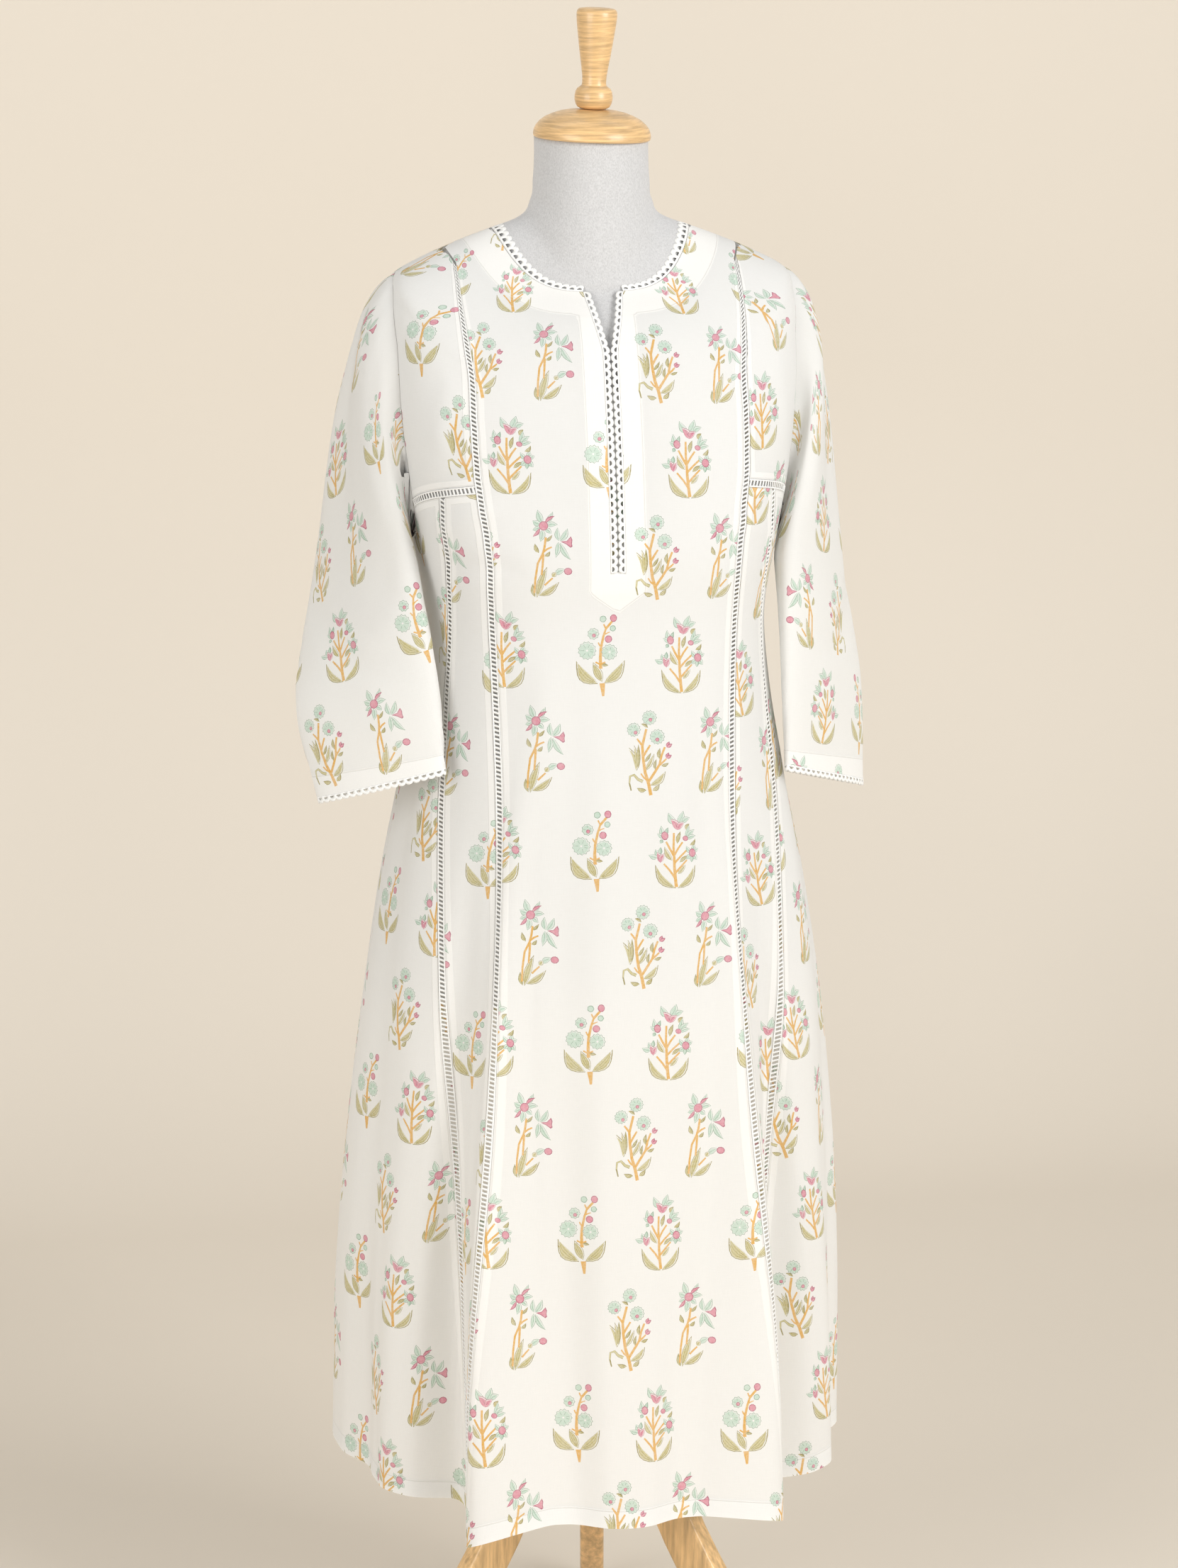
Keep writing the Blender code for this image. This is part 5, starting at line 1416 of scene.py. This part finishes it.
class KURTA_OT_panels(KurtaOperator, bpy.types.Operator):
    """Cut and lay the printed panels of the front, the sides and the back"""

    bl_idname = "kurta.panels"
    bl_label = "Printed panels"

    def execute(self, context):
        cloth_print = Print()
        material = material_once("block printed cambric", printed_cambric)
        princess = (PRINCESS_SEAM, 0.0, SHOULDER_BAND)
        side_lace = (SIDE_LACE_SEAM, 0.0, 1.27)
        marks = marks_of(from_lace=near_lace((princess,)), from_hem=above_hem, into_facing=front_facing)

        def front_edge(height):
            edge = beside_seam(PRINCESS_SEAM, height, -BESIDE_LACE)
            shoulder = math.pi / 2 - angle_for(SEAM_GAP / 2, math.pi / 2, height)
            return np.where(height > SHOULDER_BAND, shoulder, edge)

        def in_front(angle, height):
            open_slit = (np.abs(angle) < slit_angle(height)) & (height > SLIT_BOTTOM)
            return (height > HEM) & (height < NECKLINE) & (np.abs(angle) < front_edge(height)) & ~open_slit

        cuts = (
            lambda angle, height: beside_seam(PRINCESS_SEAM, height, -BESIDE_LACE) - angle,
            lambda angle, height: beside_seam(PRINCESS_SEAM, height, -BESIDE_LACE) + angle,
            lambda angle, height: slit_angle(height) - angle,
            lambda angle, height: slit_angle(height) + angle,
            lambda angle, height: height - HEM,
            lambda angle, height: height - SLIT_BOTTOM,
            lambda angle, height: height - SHOULDER_BAND,
            lambda angle, height: height - NECKLINE,
            lambda angle, height: math.pi / 2 - angle,
            lambda angle, height: math.pi / 2 + angle,
        )
        cut = body_cut(0.0, HEM, NECKLINE, 96)
        sewn_to_body("front_centre", cloth_print, material, cut, cuts, in_front, marks)

        def in_back(angle, height):
            edge = math.pi - armhole_angle(height)
            return (height > HEM) & (height < NECKLINE) & (angle > edge) & (angle < 2 * math.pi - edge)

        cuts = (
            lambda angle, height: math.pi - armhole_angle(height) - angle,
            lambda angle, height: math.pi + armhole_angle(height) - angle,
            lambda angle, height: height - HEM,
            lambda angle, height: height - NECKLINE,
        )
        marks = marks_of(from_hem=above_hem)
        cut = body_cut(math.pi, HEM, NECKLINE, 96)
        sewn_to_body("back", Print(fine=False), material, cut, cuts, in_back, marks)

        for side, sign in SIDES.items():
            self.side_pieces(side, sign, cloth_print, material, princess, side_lace, marks)
        self.underlap(cloth_print, material, marks)
        return {"FINISHED"}

    def side_pieces(self, side, sign, cloth_print, material, princess, side_lace, plain):
        """The yoke and the two gores of one side."""
        def beside(seam, distance):
            return lambda angle, height: beside_seam(seam, height, distance) - np.abs(angle)

        def at_armhole(angle, height):
            return armhole_angle(height) - np.abs(angle)

        def above_lace(distance):
            return lambda angle, height: height - yoke_lace_height(angle, distance)

        def above(level):
            return lambda angle, height: height - level

        def here(inner, outer, foot, top):
            """True inside all four edges of a piece: its inner and outer side, its foot and its top."""
            return lambda a, h: (
                (inner(a, h) < 0) & (outer(a, h) > 0) & (foot(a, h) > 0) & (top(a, h) < 0) & (a * sign > 0)
            )

        yoke = (beside(PRINCESS_SEAM, BESIDE_LACE), at_armhole, above_lace(BESIDE_LACE), above(YOKE_TOP))
        below = (above(HEM), above_lace(-BESIDE_LACE))
        inner = (beside(PRINCESS_SEAM, BESIDE_LACE), beside(SIDE_LACE_SEAM, -BESIDE_LACE), *below)
        outer = (beside(SIDE_LACE_SEAM, BESIDE_LACE), at_armhole, *below)
        pieces = {
            "yoke": (yoke, 58.0, 1.22, YOKE_TOP, (princess,)),
            "gore_inner": (inner, 45.0, HEM, 1.28, (princess, side_lace)),
            "gore_outer": (outer, 70.0, HEM, 1.27, (side_lace,)),
        }
        for kind, (edges, middle, low, high, seams) in pieces.items():
            marks = dict(plain, from_lace=near_lace(seams), from_yoke_lace=near_yoke_lace)
            cut = body_cut(math.radians(middle) * sign, low, high, 44)
            sewn_to_body(f"{kind}_{side}", cloth_print, material, cut, edges, here(*edges), marks)

    def underlap(self, cloth_print, material, plain):
        """The printed piece that closes the slit from behind."""
        def inside(angle, height):
            edge = angle_for(UNDERLAP_HALF_WIDTH, 0.0, height)
            return (np.abs(angle) < edge) & (height > SLIT_BOTTOM) & (height < UNDERLAP_TOP)

        cuts = (
            lambda angle, height: angle_for(UNDERLAP_HALF_WIDTH, 0.0, height) - np.abs(angle),
            lambda angle, height: height - SLIT_BOTTOM,
            lambda angle, height: height - UNDERLAP_TOP,
        )
        marks = dict(plain, from_hem=far_away)
        cut = body_cut(0.0, SLIT_BOTTOM, UNDERLAP_TOP, 14)
        sewn_to_body("underlap", cloth_print, material, cut, cuts, inside, marks, UNDERLAP_DEPTH)


class KURTA_OT_sleeves(KurtaOperator, bpy.types.Operator):
    """Cut and lay both printed sleeves, with the turned band in each cuff and the lace below it"""

    bl_idname = "kurta.sleeves"
    bl_label = "Sleeves and cuffs"

    def execute(self, context):
        cloth_print = Print()
        material = material_once("block printed cambric", printed_cambric)
        plain = material_once("plain cambric", plain_cambric)
        cotton = material_once("lace cotton", lace_cotton)
        lace = context.scene.kurta_lace
        for side in SIDES:
            point, normal = sleeve_surface(side)
            rows = np.arange(CAP_ROWS + LOWER_ROWS, -1, -1, dtype=float)
            cut = FlatCut(point, np.radians(np.linspace(-180, 180, 73)), rows)
            last = CAP_ROWS + LOWER_ROWS

            def inside(turn, row, last=last):
                return (np.abs(turn) < math.pi) & (row >= 0) & (row <= last)

            cuts = (
                lambda turn, row: turn - math.pi,
                lambda turn, row: turn + math.pi,
                lambda turn, row: row,
                lambda turn, row, last=last: row - last,
            )
            foot = cut.flat[:, 36, 1]

            def above_cuff(turn, row, foot=foot, rows=rows):
                return np.interp(row, rows[::-1], foot[::-1])

            marks = marks_of(from_hem=above_cuff)
            name = f"sleeve_{side}"
            piece = printed_piece(name, cloth_print, cut, cuts, inside, point, normal, marks)
            declare_cloth(dress(piece, "white_cambric", material, name))

            turns = np.radians(np.linspace(-180, 180, 97))
            near_foot = np.interp((HEM_TURNING, 0.0), foot, rows)
            grid_turn, grid_row = np.meshgrid(turns, near_foot)
            band = point(grid_turn, grid_row) - normal(grid_turn, grid_row) * TURNING_DEPTH
            dress(grid_piece(f"cuff_turning_{side}", band), "white_cambric", plain, f"cuff_turning_{side}")

            edge = point(turns, np.full(turns.shape, float(last)))
            above = point(turns, np.full(turns.shape, last - 2.0))
            outward = normal(turns, np.full(turns.shape, float(last)))
            fall = (edge - above) / np.linalg.norm(edge - above, axis=1, keepdims=True)
            run = distance_table(edge)

            def place(along, across, lift, edge=edge, fall=fall, outward=outward, run=run):
                along = along % run[-1]
                def read(values):
                    return np.stack([np.interp(along, run, values[:, axis]) for axis in range(3)], axis=1)
                return read(edge) + read(fall) * across[:, None] + read(outward) * (lift - LACE_SINK)[:, None]

            template = scallop_template(lace.scallop_pitch, EDGE_LACE_WIDTH)
            trim = lace_strip(f"lace_cuff_{side}", place, run[-1], template, lace.scallop_pitch)
            thicken(trim, 0.0007)
            dress(trim, "cotton_lace", cotton, f"lace_cuff_{side}")
        return {"FINISHED"}


def grid_piece(name, points):
    """A plain sheet over a grid of points, with smooth shading."""
    rows, columns = points.shape[:2]
    faces = [
        (r * columns + c, r * columns + c + 1, (r + 1) * columns + c + 1, (r + 1) * columns + c)
        for r in range(rows - 1) for c in range(columns - 1)
    ]
    data = bpy.data.meshes.new(name)
    data.from_pydata((points + AXIS).reshape(-1, 3).tolist(), [], faces)
    data.shade_smooth()
    return add_piece(f"{name}_cloth", data)


def thicken(piece, thickness):
    """Gives a flat piece its thickness."""
    solid = piece.modifiers.new("thickness", "SOLIDIFY")
    solid.thickness = thickness
    solid.offset = 0.0
    bpy.ops.object.select_all(action="DESELECT")
    bpy.context.view_layer.objects.active = piece
    piece.select_set(True)
    bpy.ops.object.modifier_apply(modifier=solid.name)
    piece.select_set(False)


class KURTA_OT_turnings(KurtaOperator, bpy.types.Operator):
    """Lay the hem band and the facings inside the cloth"""

    bl_idname = "kurta.turnings"
    bl_label = "Hem band and facings"

    def execute(self, context):
        plain = material_once("plain cambric", plain_cambric)

        def inside_cloth(angle, height):
            return creased_cloth(angle, height) - body_normal(angle, height) * TURNING_DEPTH

        heights = (HEM, HEM + HEM_TURNING / 2, HEM + HEM_TURNING)
        angle, height = np.meshgrid(np.radians(np.linspace(0, 360, 361)), heights)
        dress(grid_piece("hem_turning", inside_cloth(angle, height)), "cambric_facing", plain, "hem_turning")
        for side, sign in SIDES.items():
            heights = np.linspace(FACING_LOW, NECKLINE, 5)
            share = np.linspace(0, 1, 61)[None, :]
            start = slit_angle(heights)[:, None]
            end = math.pi / 2 - 0.002
            angle = (start * (1 - share) + end * share) * sign
            height = np.repeat(heights[:, None], 61, axis=1)
            points = inside_cloth(angle, height)
            dress(grid_piece(f"facing_neck_{side}", points), "cambric_facing", plain, f"facing_neck_{side}")
        heights = np.linspace(PLACKET_TIP, FACING_LOW - 0.0006, 90)
        outer = PLACKET_HALF_WIDTH
        across = np.concatenate((-np.linspace(outer, 0.008, 5), np.linspace(0.008, outer, 5)))
        inner = slit_half_width(heights)[:, None]
        share = (np.abs(across) - 0.008) / (outer - 0.008)
        width = (inner * (1 - share) + outer * share) * np.sign(across)
        angle = angle_for(1.0, 0.0, heights)[:, None] * width
        points = inside_cloth(angle, np.repeat(heights[:, None], len(across), axis=1))
        piece = grid_piece("facing_placket", points)
        shape = bmesh.new()
        shape.from_mesh(piece.data)
        spare = [face for face in shape.faces if self.over_slit(face)]
        bmesh.ops.delete(shape, geom=spare, context="FACES")
        shape.to_mesh(piece.data)
        shape.free()
        dress(piece, "cambric_facing", plain, "facing_placket")
        return {"FINISHED"}

    @staticmethod
    def over_slit(face):
        """True for a face that bridges the open part of the slit."""
        width = max(vert.co.x for vert in face.verts) - min(vert.co.x for vert in face.verts)
        return width > 0.012 and face.calc_center_median().z > SLIT_BOTTOM


class KURTA_OT_laces(KurtaOperator, bpy.types.Operator):
    """Knot the ladder laces into their seams"""

    bl_idname = "kurta.laces"
    bl_label = "Ladder laces"

    def execute(self, context):
        lace = context.scene.kurta_lace
        cotton = material_once("lace cotton", lace_cotton)
        template = ladder_template(lace.rung_pitch, lace.rung_slant, LACE_WIDTH)
        side_top = yoke_lace_height(seam_angle(SIDE_LACE_SEAM, 1.25), -BESIDE_LACE)
        seams = {
            "lace_princess": (PRINCESS_SEAM, HEM, YOKE_TOP),
            "lace_side": (SIDE_LACE_SEAM, HEM, side_top),
        }
        for side in SIDES:
            for name, (seam, low, high) in seams.items():
                place, length = along_seam(seam, side, low, float(high))
                trim = lace_strip(f"{name}_{side}", place, length, template, lace.rung_pitch)
                dress(trim, "cotton_lace", cotton, f"{name}_{side}")
            place, length = self.across_yoke(side)
            trim = lace_strip(f"lace_yoke_{side}", place, length, template, lace.rung_pitch)
            dress(trim, "cotton_lace", cotton, f"lace_yoke_{side}")
        return {"FINISHED"}

    @staticmethod
    def across_yoke(side):
        """A place function for the strip from the princess lace to the armhole."""
        start = float(beside_seam(PRINCESS_SEAM, np.array([YOKE_LACE_INNER[1]]), BESIDE_LACE)[0])
        end = float(armhole_angle(np.array([YOKE_LACE_OUTER[1]]))[0])
        angles = np.linspace(start, end, 120)
        run = distance_table(creased_cloth(SIDES[side] * angles, yoke_lace_height(angles, 0.0)))

        def place(along, across, lift):
            angle = np.interp(along, run, angles)
            height = yoke_lace_height(angle, 0.0)
            height = height + height_for(across, angle, height)
            angle = angle * SIDES[side]
            return lace_point(angle, height, lift)

        return place, run[-1]


class KURTA_OT_edge_laces(KurtaOperator, bpy.types.Operator):
    """Sew the scalloped lace round the neckline and down the slit"""

    bl_idname = "kurta.edge_laces"
    bl_label = "Scalloped laces"

    def execute(self, context):
        lace = context.scene.kurta_lace
        cotton = material_once("lace cotton", lace_cotton)
        template = scallop_template(lace.scallop_pitch, EDGE_LACE_WIDTH)
        start = float(slit_angle(np.array([NECKLINE]))[0])
        angles = np.linspace(start, 2 * math.pi - start, 900)
        run = distance_table(ring_point(angles, np.full(angles.shape, NECKLINE)))

        def round_neck(along, across, lift):
            angle = np.interp(along, run, angles)
            height = NECKLINE + height_for(across + 0.0003, 0.0, np.full(angle.shape, NECKLINE))
            outward = normals_of(ring_point, angle, height)
            return ring_point(angle, height) + (lift - LACE_SINK)[:, None] * outward

        trim = lace_strip("lace_neck", round_neck, run[-1], template, lace.scallop_pitch)
        thicken(trim, 0.0007)
        dress(trim, "cotton_lace", cotton, "lace_neck")
        for side, sign in SIDES.items():
            heights = np.linspace(SLIT_BOTTOM + 0.001, NECKLINE, 500)
            down = distance_table(ring_point(slit_angle(heights), heights))

            def down_slit(along, across, lift, sign=sign, heights=heights, down=down):
                height = np.interp(along, down, heights)
                reach = slit_half_width(height) - across - 0.0002
                angle = angle_for(reach, 0.0, height) * sign
                return lace_point(angle, height, lift)

            trim = lace_strip(f"lace_slit_{side}", down_slit, down[-1], template, lace.scallop_pitch)
            thicken(trim, 0.0007)
            dress(trim, "cotton_lace", cotton, f"lace_slit_{side}")
        return {"FINISHED"}


class KURTA_OT_form(KurtaOperator, bpy.types.Operator):
    """Pad and cover the dress form's body and neck"""

    bl_idname = "kurta.form"
    bl_label = "Dress form"

    def execute(self, context):
        heights = np.concatenate((np.linspace(FORM_BOTTOM, 1.43, 90), np.linspace(1.435, NECK_TOP, 64)))
        angle, height = np.meshgrid(np.linspace(0, 2 * math.pi, 145), heights)
        room = FACING_ROOM * np.clip(4 * np.cos(angle) + 0.6, 0, 1)
        room *= np.clip((NECKLINE + 0.004 - height) / 0.004, 0, 1)
        ease = (smooth_between(EASE, height) + room)[..., None]
        points = ring_point(angle, height) - normals_of(ring_point, angle, height) * ease
        points[-1, :, 2] = NECK_TOP - np.tan(HEAD_TILT) * points[-1, :, 0]
        foot = points[0].mean(axis=0)
        closing = [foot + (points[0] - foot) * share for share in (0.02, 0.5, 0.9, 0.97)]
        for row, drop in zip(closing, (0.0, 0.0, 0.0, 0.002)):
            row[:, 2] = FORM_BOTTOM + drop
        grid = np.concatenate((np.array(closing), points[1:]))
        piece = grid_piece("torso", grid)
        piece.name = "form_body"
        shape = bmesh.new()
        shape.from_mesh(piece.data)
        bmesh.ops.remove_doubles(shape, verts=shape.verts[:], dist=1e-5)
        bmesh.ops.holes_fill(shape, edges=shape.edges[:], sides=0)
        bmesh.ops.recalc_face_normals(shape, faces=shape.faces[:])
        shape.to_mesh(piece.data)
        shape.free()
        dress(piece, "grey_jersey", material_once("grey jersey", grey_jersey), "torso")
        return {"FINISHED"}


# Turned wood, from bottom to top: radius and height above the neck.
CAP_PROFILE = (
    (0.0560, 0.0004), (0.0574, 0.0018), (0.0577, 0.0045), (0.0570, 0.0080), (0.0552, 0.0120),
    (0.0520, 0.0160), (0.0470, 0.0200), (0.0400, 0.0234), (0.0320, 0.0262), (0.0235, 0.0279),
    (0.0150, 0.0287),
)
FINIAL_PROFILE = (
    (0.0100, 0.0290), (0.0126, 0.0294), (0.0158, 0.0312), (0.0177, 0.0344), (0.0186, 0.0385),
    (0.0186, 0.0420), (0.0178, 0.0462), (0.0162, 0.0490), (0.0136, 0.0508), (0.0121, 0.0522),
    (0.0117, 0.0552), (0.0121, 0.0620), (0.0134, 0.0710), (0.0150, 0.0810), (0.0166, 0.0920),
    (0.0181, 0.1030), (0.0194, 0.1130), (0.0199, 0.1190), (0.0198, 0.1222), (0.0190, 0.1246),
    (0.0172, 0.1260), (0.0120, 0.1268),
)


def turned_up(name, profile):
    """A turned piece: a disc drawn up along its profile, ring by ring, and closed at the top."""
    bpy.ops.object.select_all(action="DESELECT")
    radius, foot = profile[0]
    bpy.ops.mesh.primitive_circle_add(vertices=96, radius=radius, fill_type="NGON", location=(0, 0, foot))
    piece = bpy.context.object
    piece.name = name
    bpy.ops.object.transform_apply(location=True, rotation=True, scale=True)
    bpy.ops.object.mode_set(mode="EDIT")
    bpy.ops.mesh.select_all(action="SELECT")
    for (radius, height), (next_radius, next_height) in zip(profile, profile[1:]):
        bpy.ops.mesh.extrude_region_move(TRANSFORM_OT_translate={"value": (0, 0, next_height - height)})
        ratio = next_radius / radius
        bpy.ops.transform.resize(value=(ratio, ratio, 1.0), center_override=(0, 0, next_height))
    bpy.ops.mesh.select_all(action="SELECT")
    bpy.ops.mesh.normals_make_consistent(inside=False)
    bpy.ops.object.mode_set(mode="OBJECT")
    bpy.ops.object.shade_smooth_by_angle(angle=math.radians(35))
    return piece


def rounded_copy(node, width):
    """A copy of a wooden node with its doubles merged and its edges rounded."""
    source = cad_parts[node]
    piece = source.copy()
    piece.data = source.data.copy()
    piece.name = f"{node}_wood"
    piece.parent = None
    piece.matrix_world = Matrix.Identity(4)
    bpy.context.scene.collection.objects.link(piece)
    shape = bmesh.new()
    shape.from_mesh(piece.data)
    bmesh.ops.remove_doubles(shape, verts=shape.verts[:], dist=1e-5)
    bmesh.ops.dissolve_limit(shape, angle_limit=math.radians(2), verts=shape.verts[:], edges=shape.edges[:])
    shape.to_mesh(piece.data)
    shape.free()
    bevel = piece.modifiers.new("rounding", "BEVEL")
    bevel.width = width
    bevel.segments = 4
    bevel.angle_limit = math.radians(50)
    bpy.ops.object.select_all(action="DESELECT")
    bpy.context.view_layer.objects.active = piece
    piece.select_set(True)
    bpy.ops.object.modifier_apply(modifier=bevel.name)
    bpy.ops.object.shade_smooth_by_angle(angle=math.radians(40))
    piece.select_set(False)
    return piece


class KURTA_OT_wood(KurtaOperator, bpy.types.Operator):
    """Turn the cap and finial, round the legs and varnish the wood"""

    bl_idname = "kurta.wood"
    bl_label = "Wooden parts"

    def execute(self, context):
        turned = material_once("turned wood", varnished_wood, "turned wood", (26.0, 26.0, 420.0))
        upright = material_once("stand wood", varnished_wood, "stand wood", (170.0, 170.0, 16.0))
        tilt = Matrix.Translation(Vector((*AXIS[:2], NECK_TOP))) @ Matrix.Rotation(HEAD_TILT, 4, "Y")
        for node, profile in (("neck_cap", CAP_PROFILE), ("finial", FINIAL_PROFILE)):
            piece = turned_up(f"{node}_turned", profile)
            piece.data.transform(tilt)
            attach(piece, BODY)
            dress(piece, "honey_wood", turned, node)
        for node in ("leg_back", "leg_left", "leg_right"):
            piece = rounded_copy(node, context.scene.kurta_stand.edge_round)
            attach(piece, BODY)
            dress(piece, "honey_wood", upright, node)
        for node in ("hub", "pole"):
            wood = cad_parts[node]
            wood.data.materials.clear()
            wood.data.materials.append(upright)
        return {"FINISHED"}


# The camera's place round the form's axis, worked out from the photograph's perspective.
CAMERA_DISTANCE = 5.2
CAMERA_HEIGHT = 2.05
CAMERA_AZIMUTH = math.radians(-10)
CAMERA_PITCH = math.radians(12)
CAMERA_LENS = 122.0
CAMERA_SENSOR = 36.0


def aimed_light(name, place, target, size, power, colour):
    data = bpy.data.lights.new(name, "AREA")
    data.shape = "RECTANGLE"
    data.size, data.size_y = size
    data.energy = power
    data.color = colour
    light = bpy.data.objects.new(name, data)
    bpy.context.scene.collection.objects.link(light)
    light.location = place
    light.rotation_euler = (Vector(target) - Vector(place)).to_track_quat("-Z", "Y").to_euler()
    return light


class KURTA_OT_stage(KurtaOperator, bpy.types.Operator):
    """Hang the paper sweep, clear from behind, and set the soft lights and the camera"""

    bl_idname = "kurta.stage"
    bl_label = "Stage"

    def execute(self, context):
        stage = context.scene.kurta_stage
        bend, back, half = 1.0, 2.6, 7.0
        line = [(-8.0, 0.0), (back - bend, 0.0)]
        line += [
            (back - bend + bend * math.sin(turn), bend - bend * math.cos(turn))
            for turn in np.linspace(0, math.pi / 2, 24)[1:]
        ]
        line.append((back, 6.0))
        points = [(x, y, z) for y, z in line for x in (-half, half)]
        faces = [(2 * i, 2 * i + 1, 2 * i + 3, 2 * i + 2) for i in range(len(line) - 1)]
        data = bpy.data.meshes.new("paper sweep")
        data.from_pydata(points, [], faces)
        data.shade_smooth()
        sweep = bpy.data.objects.new("paper_sweep", data)
        context.scene.collection.objects.link(sweep)
        finish = Finish("backdrop paper", Roughness=0.95, Specular_IOR_Level=0.1)
        clouds = finish.between(finish.noise(finish.place(), (0.6, 0.6, 0.6), 2.0), 0.35, 0.65)
        colour = finish.mixed(clouds, shade_of(stage.backdrop, 0.95), stage.backdrop)
        finish.put(finish.shader.inputs["Base Color"], colour)
        looking = finish.node("LightPath", "Is Camera Ray")
        from_behind = finish.math("MULTIPLY", finish.node("NewGeometry", "Backfacing"), looking)
        finish.mix_with(finish.node("BsdfTransparent", 0), from_behind)
        data.materials.append(finish.material)

        chest = (AXIS[0], AXIS[1], 1.05)
        aimed_light("key light", (2.7, -3.3, 2.5), chest, (2.2, 2.6), stage.key_power, (1.0, 0.995, 0.985))
        aimed_light("fill light", (-3.2, -2.8, 1.9), chest, (2.4, 2.6), stage.fill_power, (1.0, 0.985, 0.96))
        white = (1.0, 1.0, 1.0)
        aimed_light("sweep light", (0.0, 0.6, 3.4), (0.0, 2.3, 0.7), (4.0, 1.0), stage.sweep_power, white)
        world = bpy.data.worlds.new("studio")
        world.use_nodes = True
        world.node_tree.nodes["Background"].inputs["Color"].default_value = (1.0, 0.99, 0.97, 1.0)
        world.node_tree.nodes["Background"].inputs["Strength"].default_value = 0.55
        context.scene.world = world
        context.scene.view_settings.view_transform = "Standard"

        lens = bpy.data.cameras.new("camera")
        lens.lens = CAMERA_LENS
        lens.sensor_fit = "VERTICAL"
        lens.sensor_height = CAMERA_SENSOR
        lens.shift_x = -0.0018
        lens.clip_end = 60.0
        camera = bpy.data.objects.new("camera", lens)
        context.scene.collection.objects.link(camera)
        away = Vector((math.sin(CAMERA_AZIMUTH), -math.cos(CAMERA_AZIMUTH), 0)) * CAMERA_DISTANCE
        camera.location = Vector((AXIS[0], AXIS[1], CAMERA_HEIGHT)) + away
        camera.rotation_euler = (math.pi / 2 - CAMERA_PITCH, 0, CAMERA_AZIMUTH)
        context.scene.camera = camera
        return {"FINISHED"}


class KURTA_PT_sidebar(bpy.types.Panel):
    """Lists the kurta's builders and what they can change"""

    bl_label = "Kurta tunic"
    bl_idname = "KURTA_PT_sidebar"
    bl_space_type = "VIEW_3D"
    bl_region_type = "UI"
    bl_category = "Kurta"

    def draw(self, context):
        for settings in SETTINGS:
            group = getattr(context.scene, settings)
            column = self.layout.column(align=True)
            for name in group.__annotations__:
                column.prop(group, name)
        for operator in OPERATORS:
            self.layout.operator(operator.bl_idname)


SETTINGS = {
    "kurta_cloth": ClothSettings,
    "kurta_inks": InkSettings,
    "kurta_lace": LaceSettings,
    "kurta_stand": StandSettings,
    "kurta_stage": StageSettings,
}
OPERATORS = (
    KURTA_OT_form,
    KURTA_OT_wood,
    KURTA_OT_panels,
    KURTA_OT_sleeves,
    KURTA_OT_turnings,
    KURTA_OT_laces,
    KURTA_OT_edge_laces,
    KURTA_OT_stage,
)


def register():
    for group in SETTINGS.values():
        bpy.utils.register_class(group)
    for name, group in SETTINGS.items():
        setattr(bpy.types.Scene, name, bpy.props.PointerProperty(type=group))
    for operator in OPERATORS:
        bpy.utils.register_class(operator)
    bpy.utils.register_class(KURTA_PT_sidebar)


def unregister():
    bpy.utils.unregister_class(KURTA_PT_sidebar)
    for operator in reversed(OPERATORS):
        bpy.utils.unregister_class(operator)
    for name, group in SETTINGS.items():
        delattr(bpy.types.Scene, name)
        bpy.utils.unregister_class(group)


def main():
    register()
    bpy.ops.kurta.form()
    bpy.ops.kurta.wood()
    bpy.ops.kurta.panels()
    bpy.ops.kurta.sleeves()
    bpy.ops.kurta.turnings()
    bpy.ops.kurta.laces()
    bpy.ops.kurta.edge_laces()
    bpy.ops.kurta.stage()


if __name__ == "__main__":
    main()
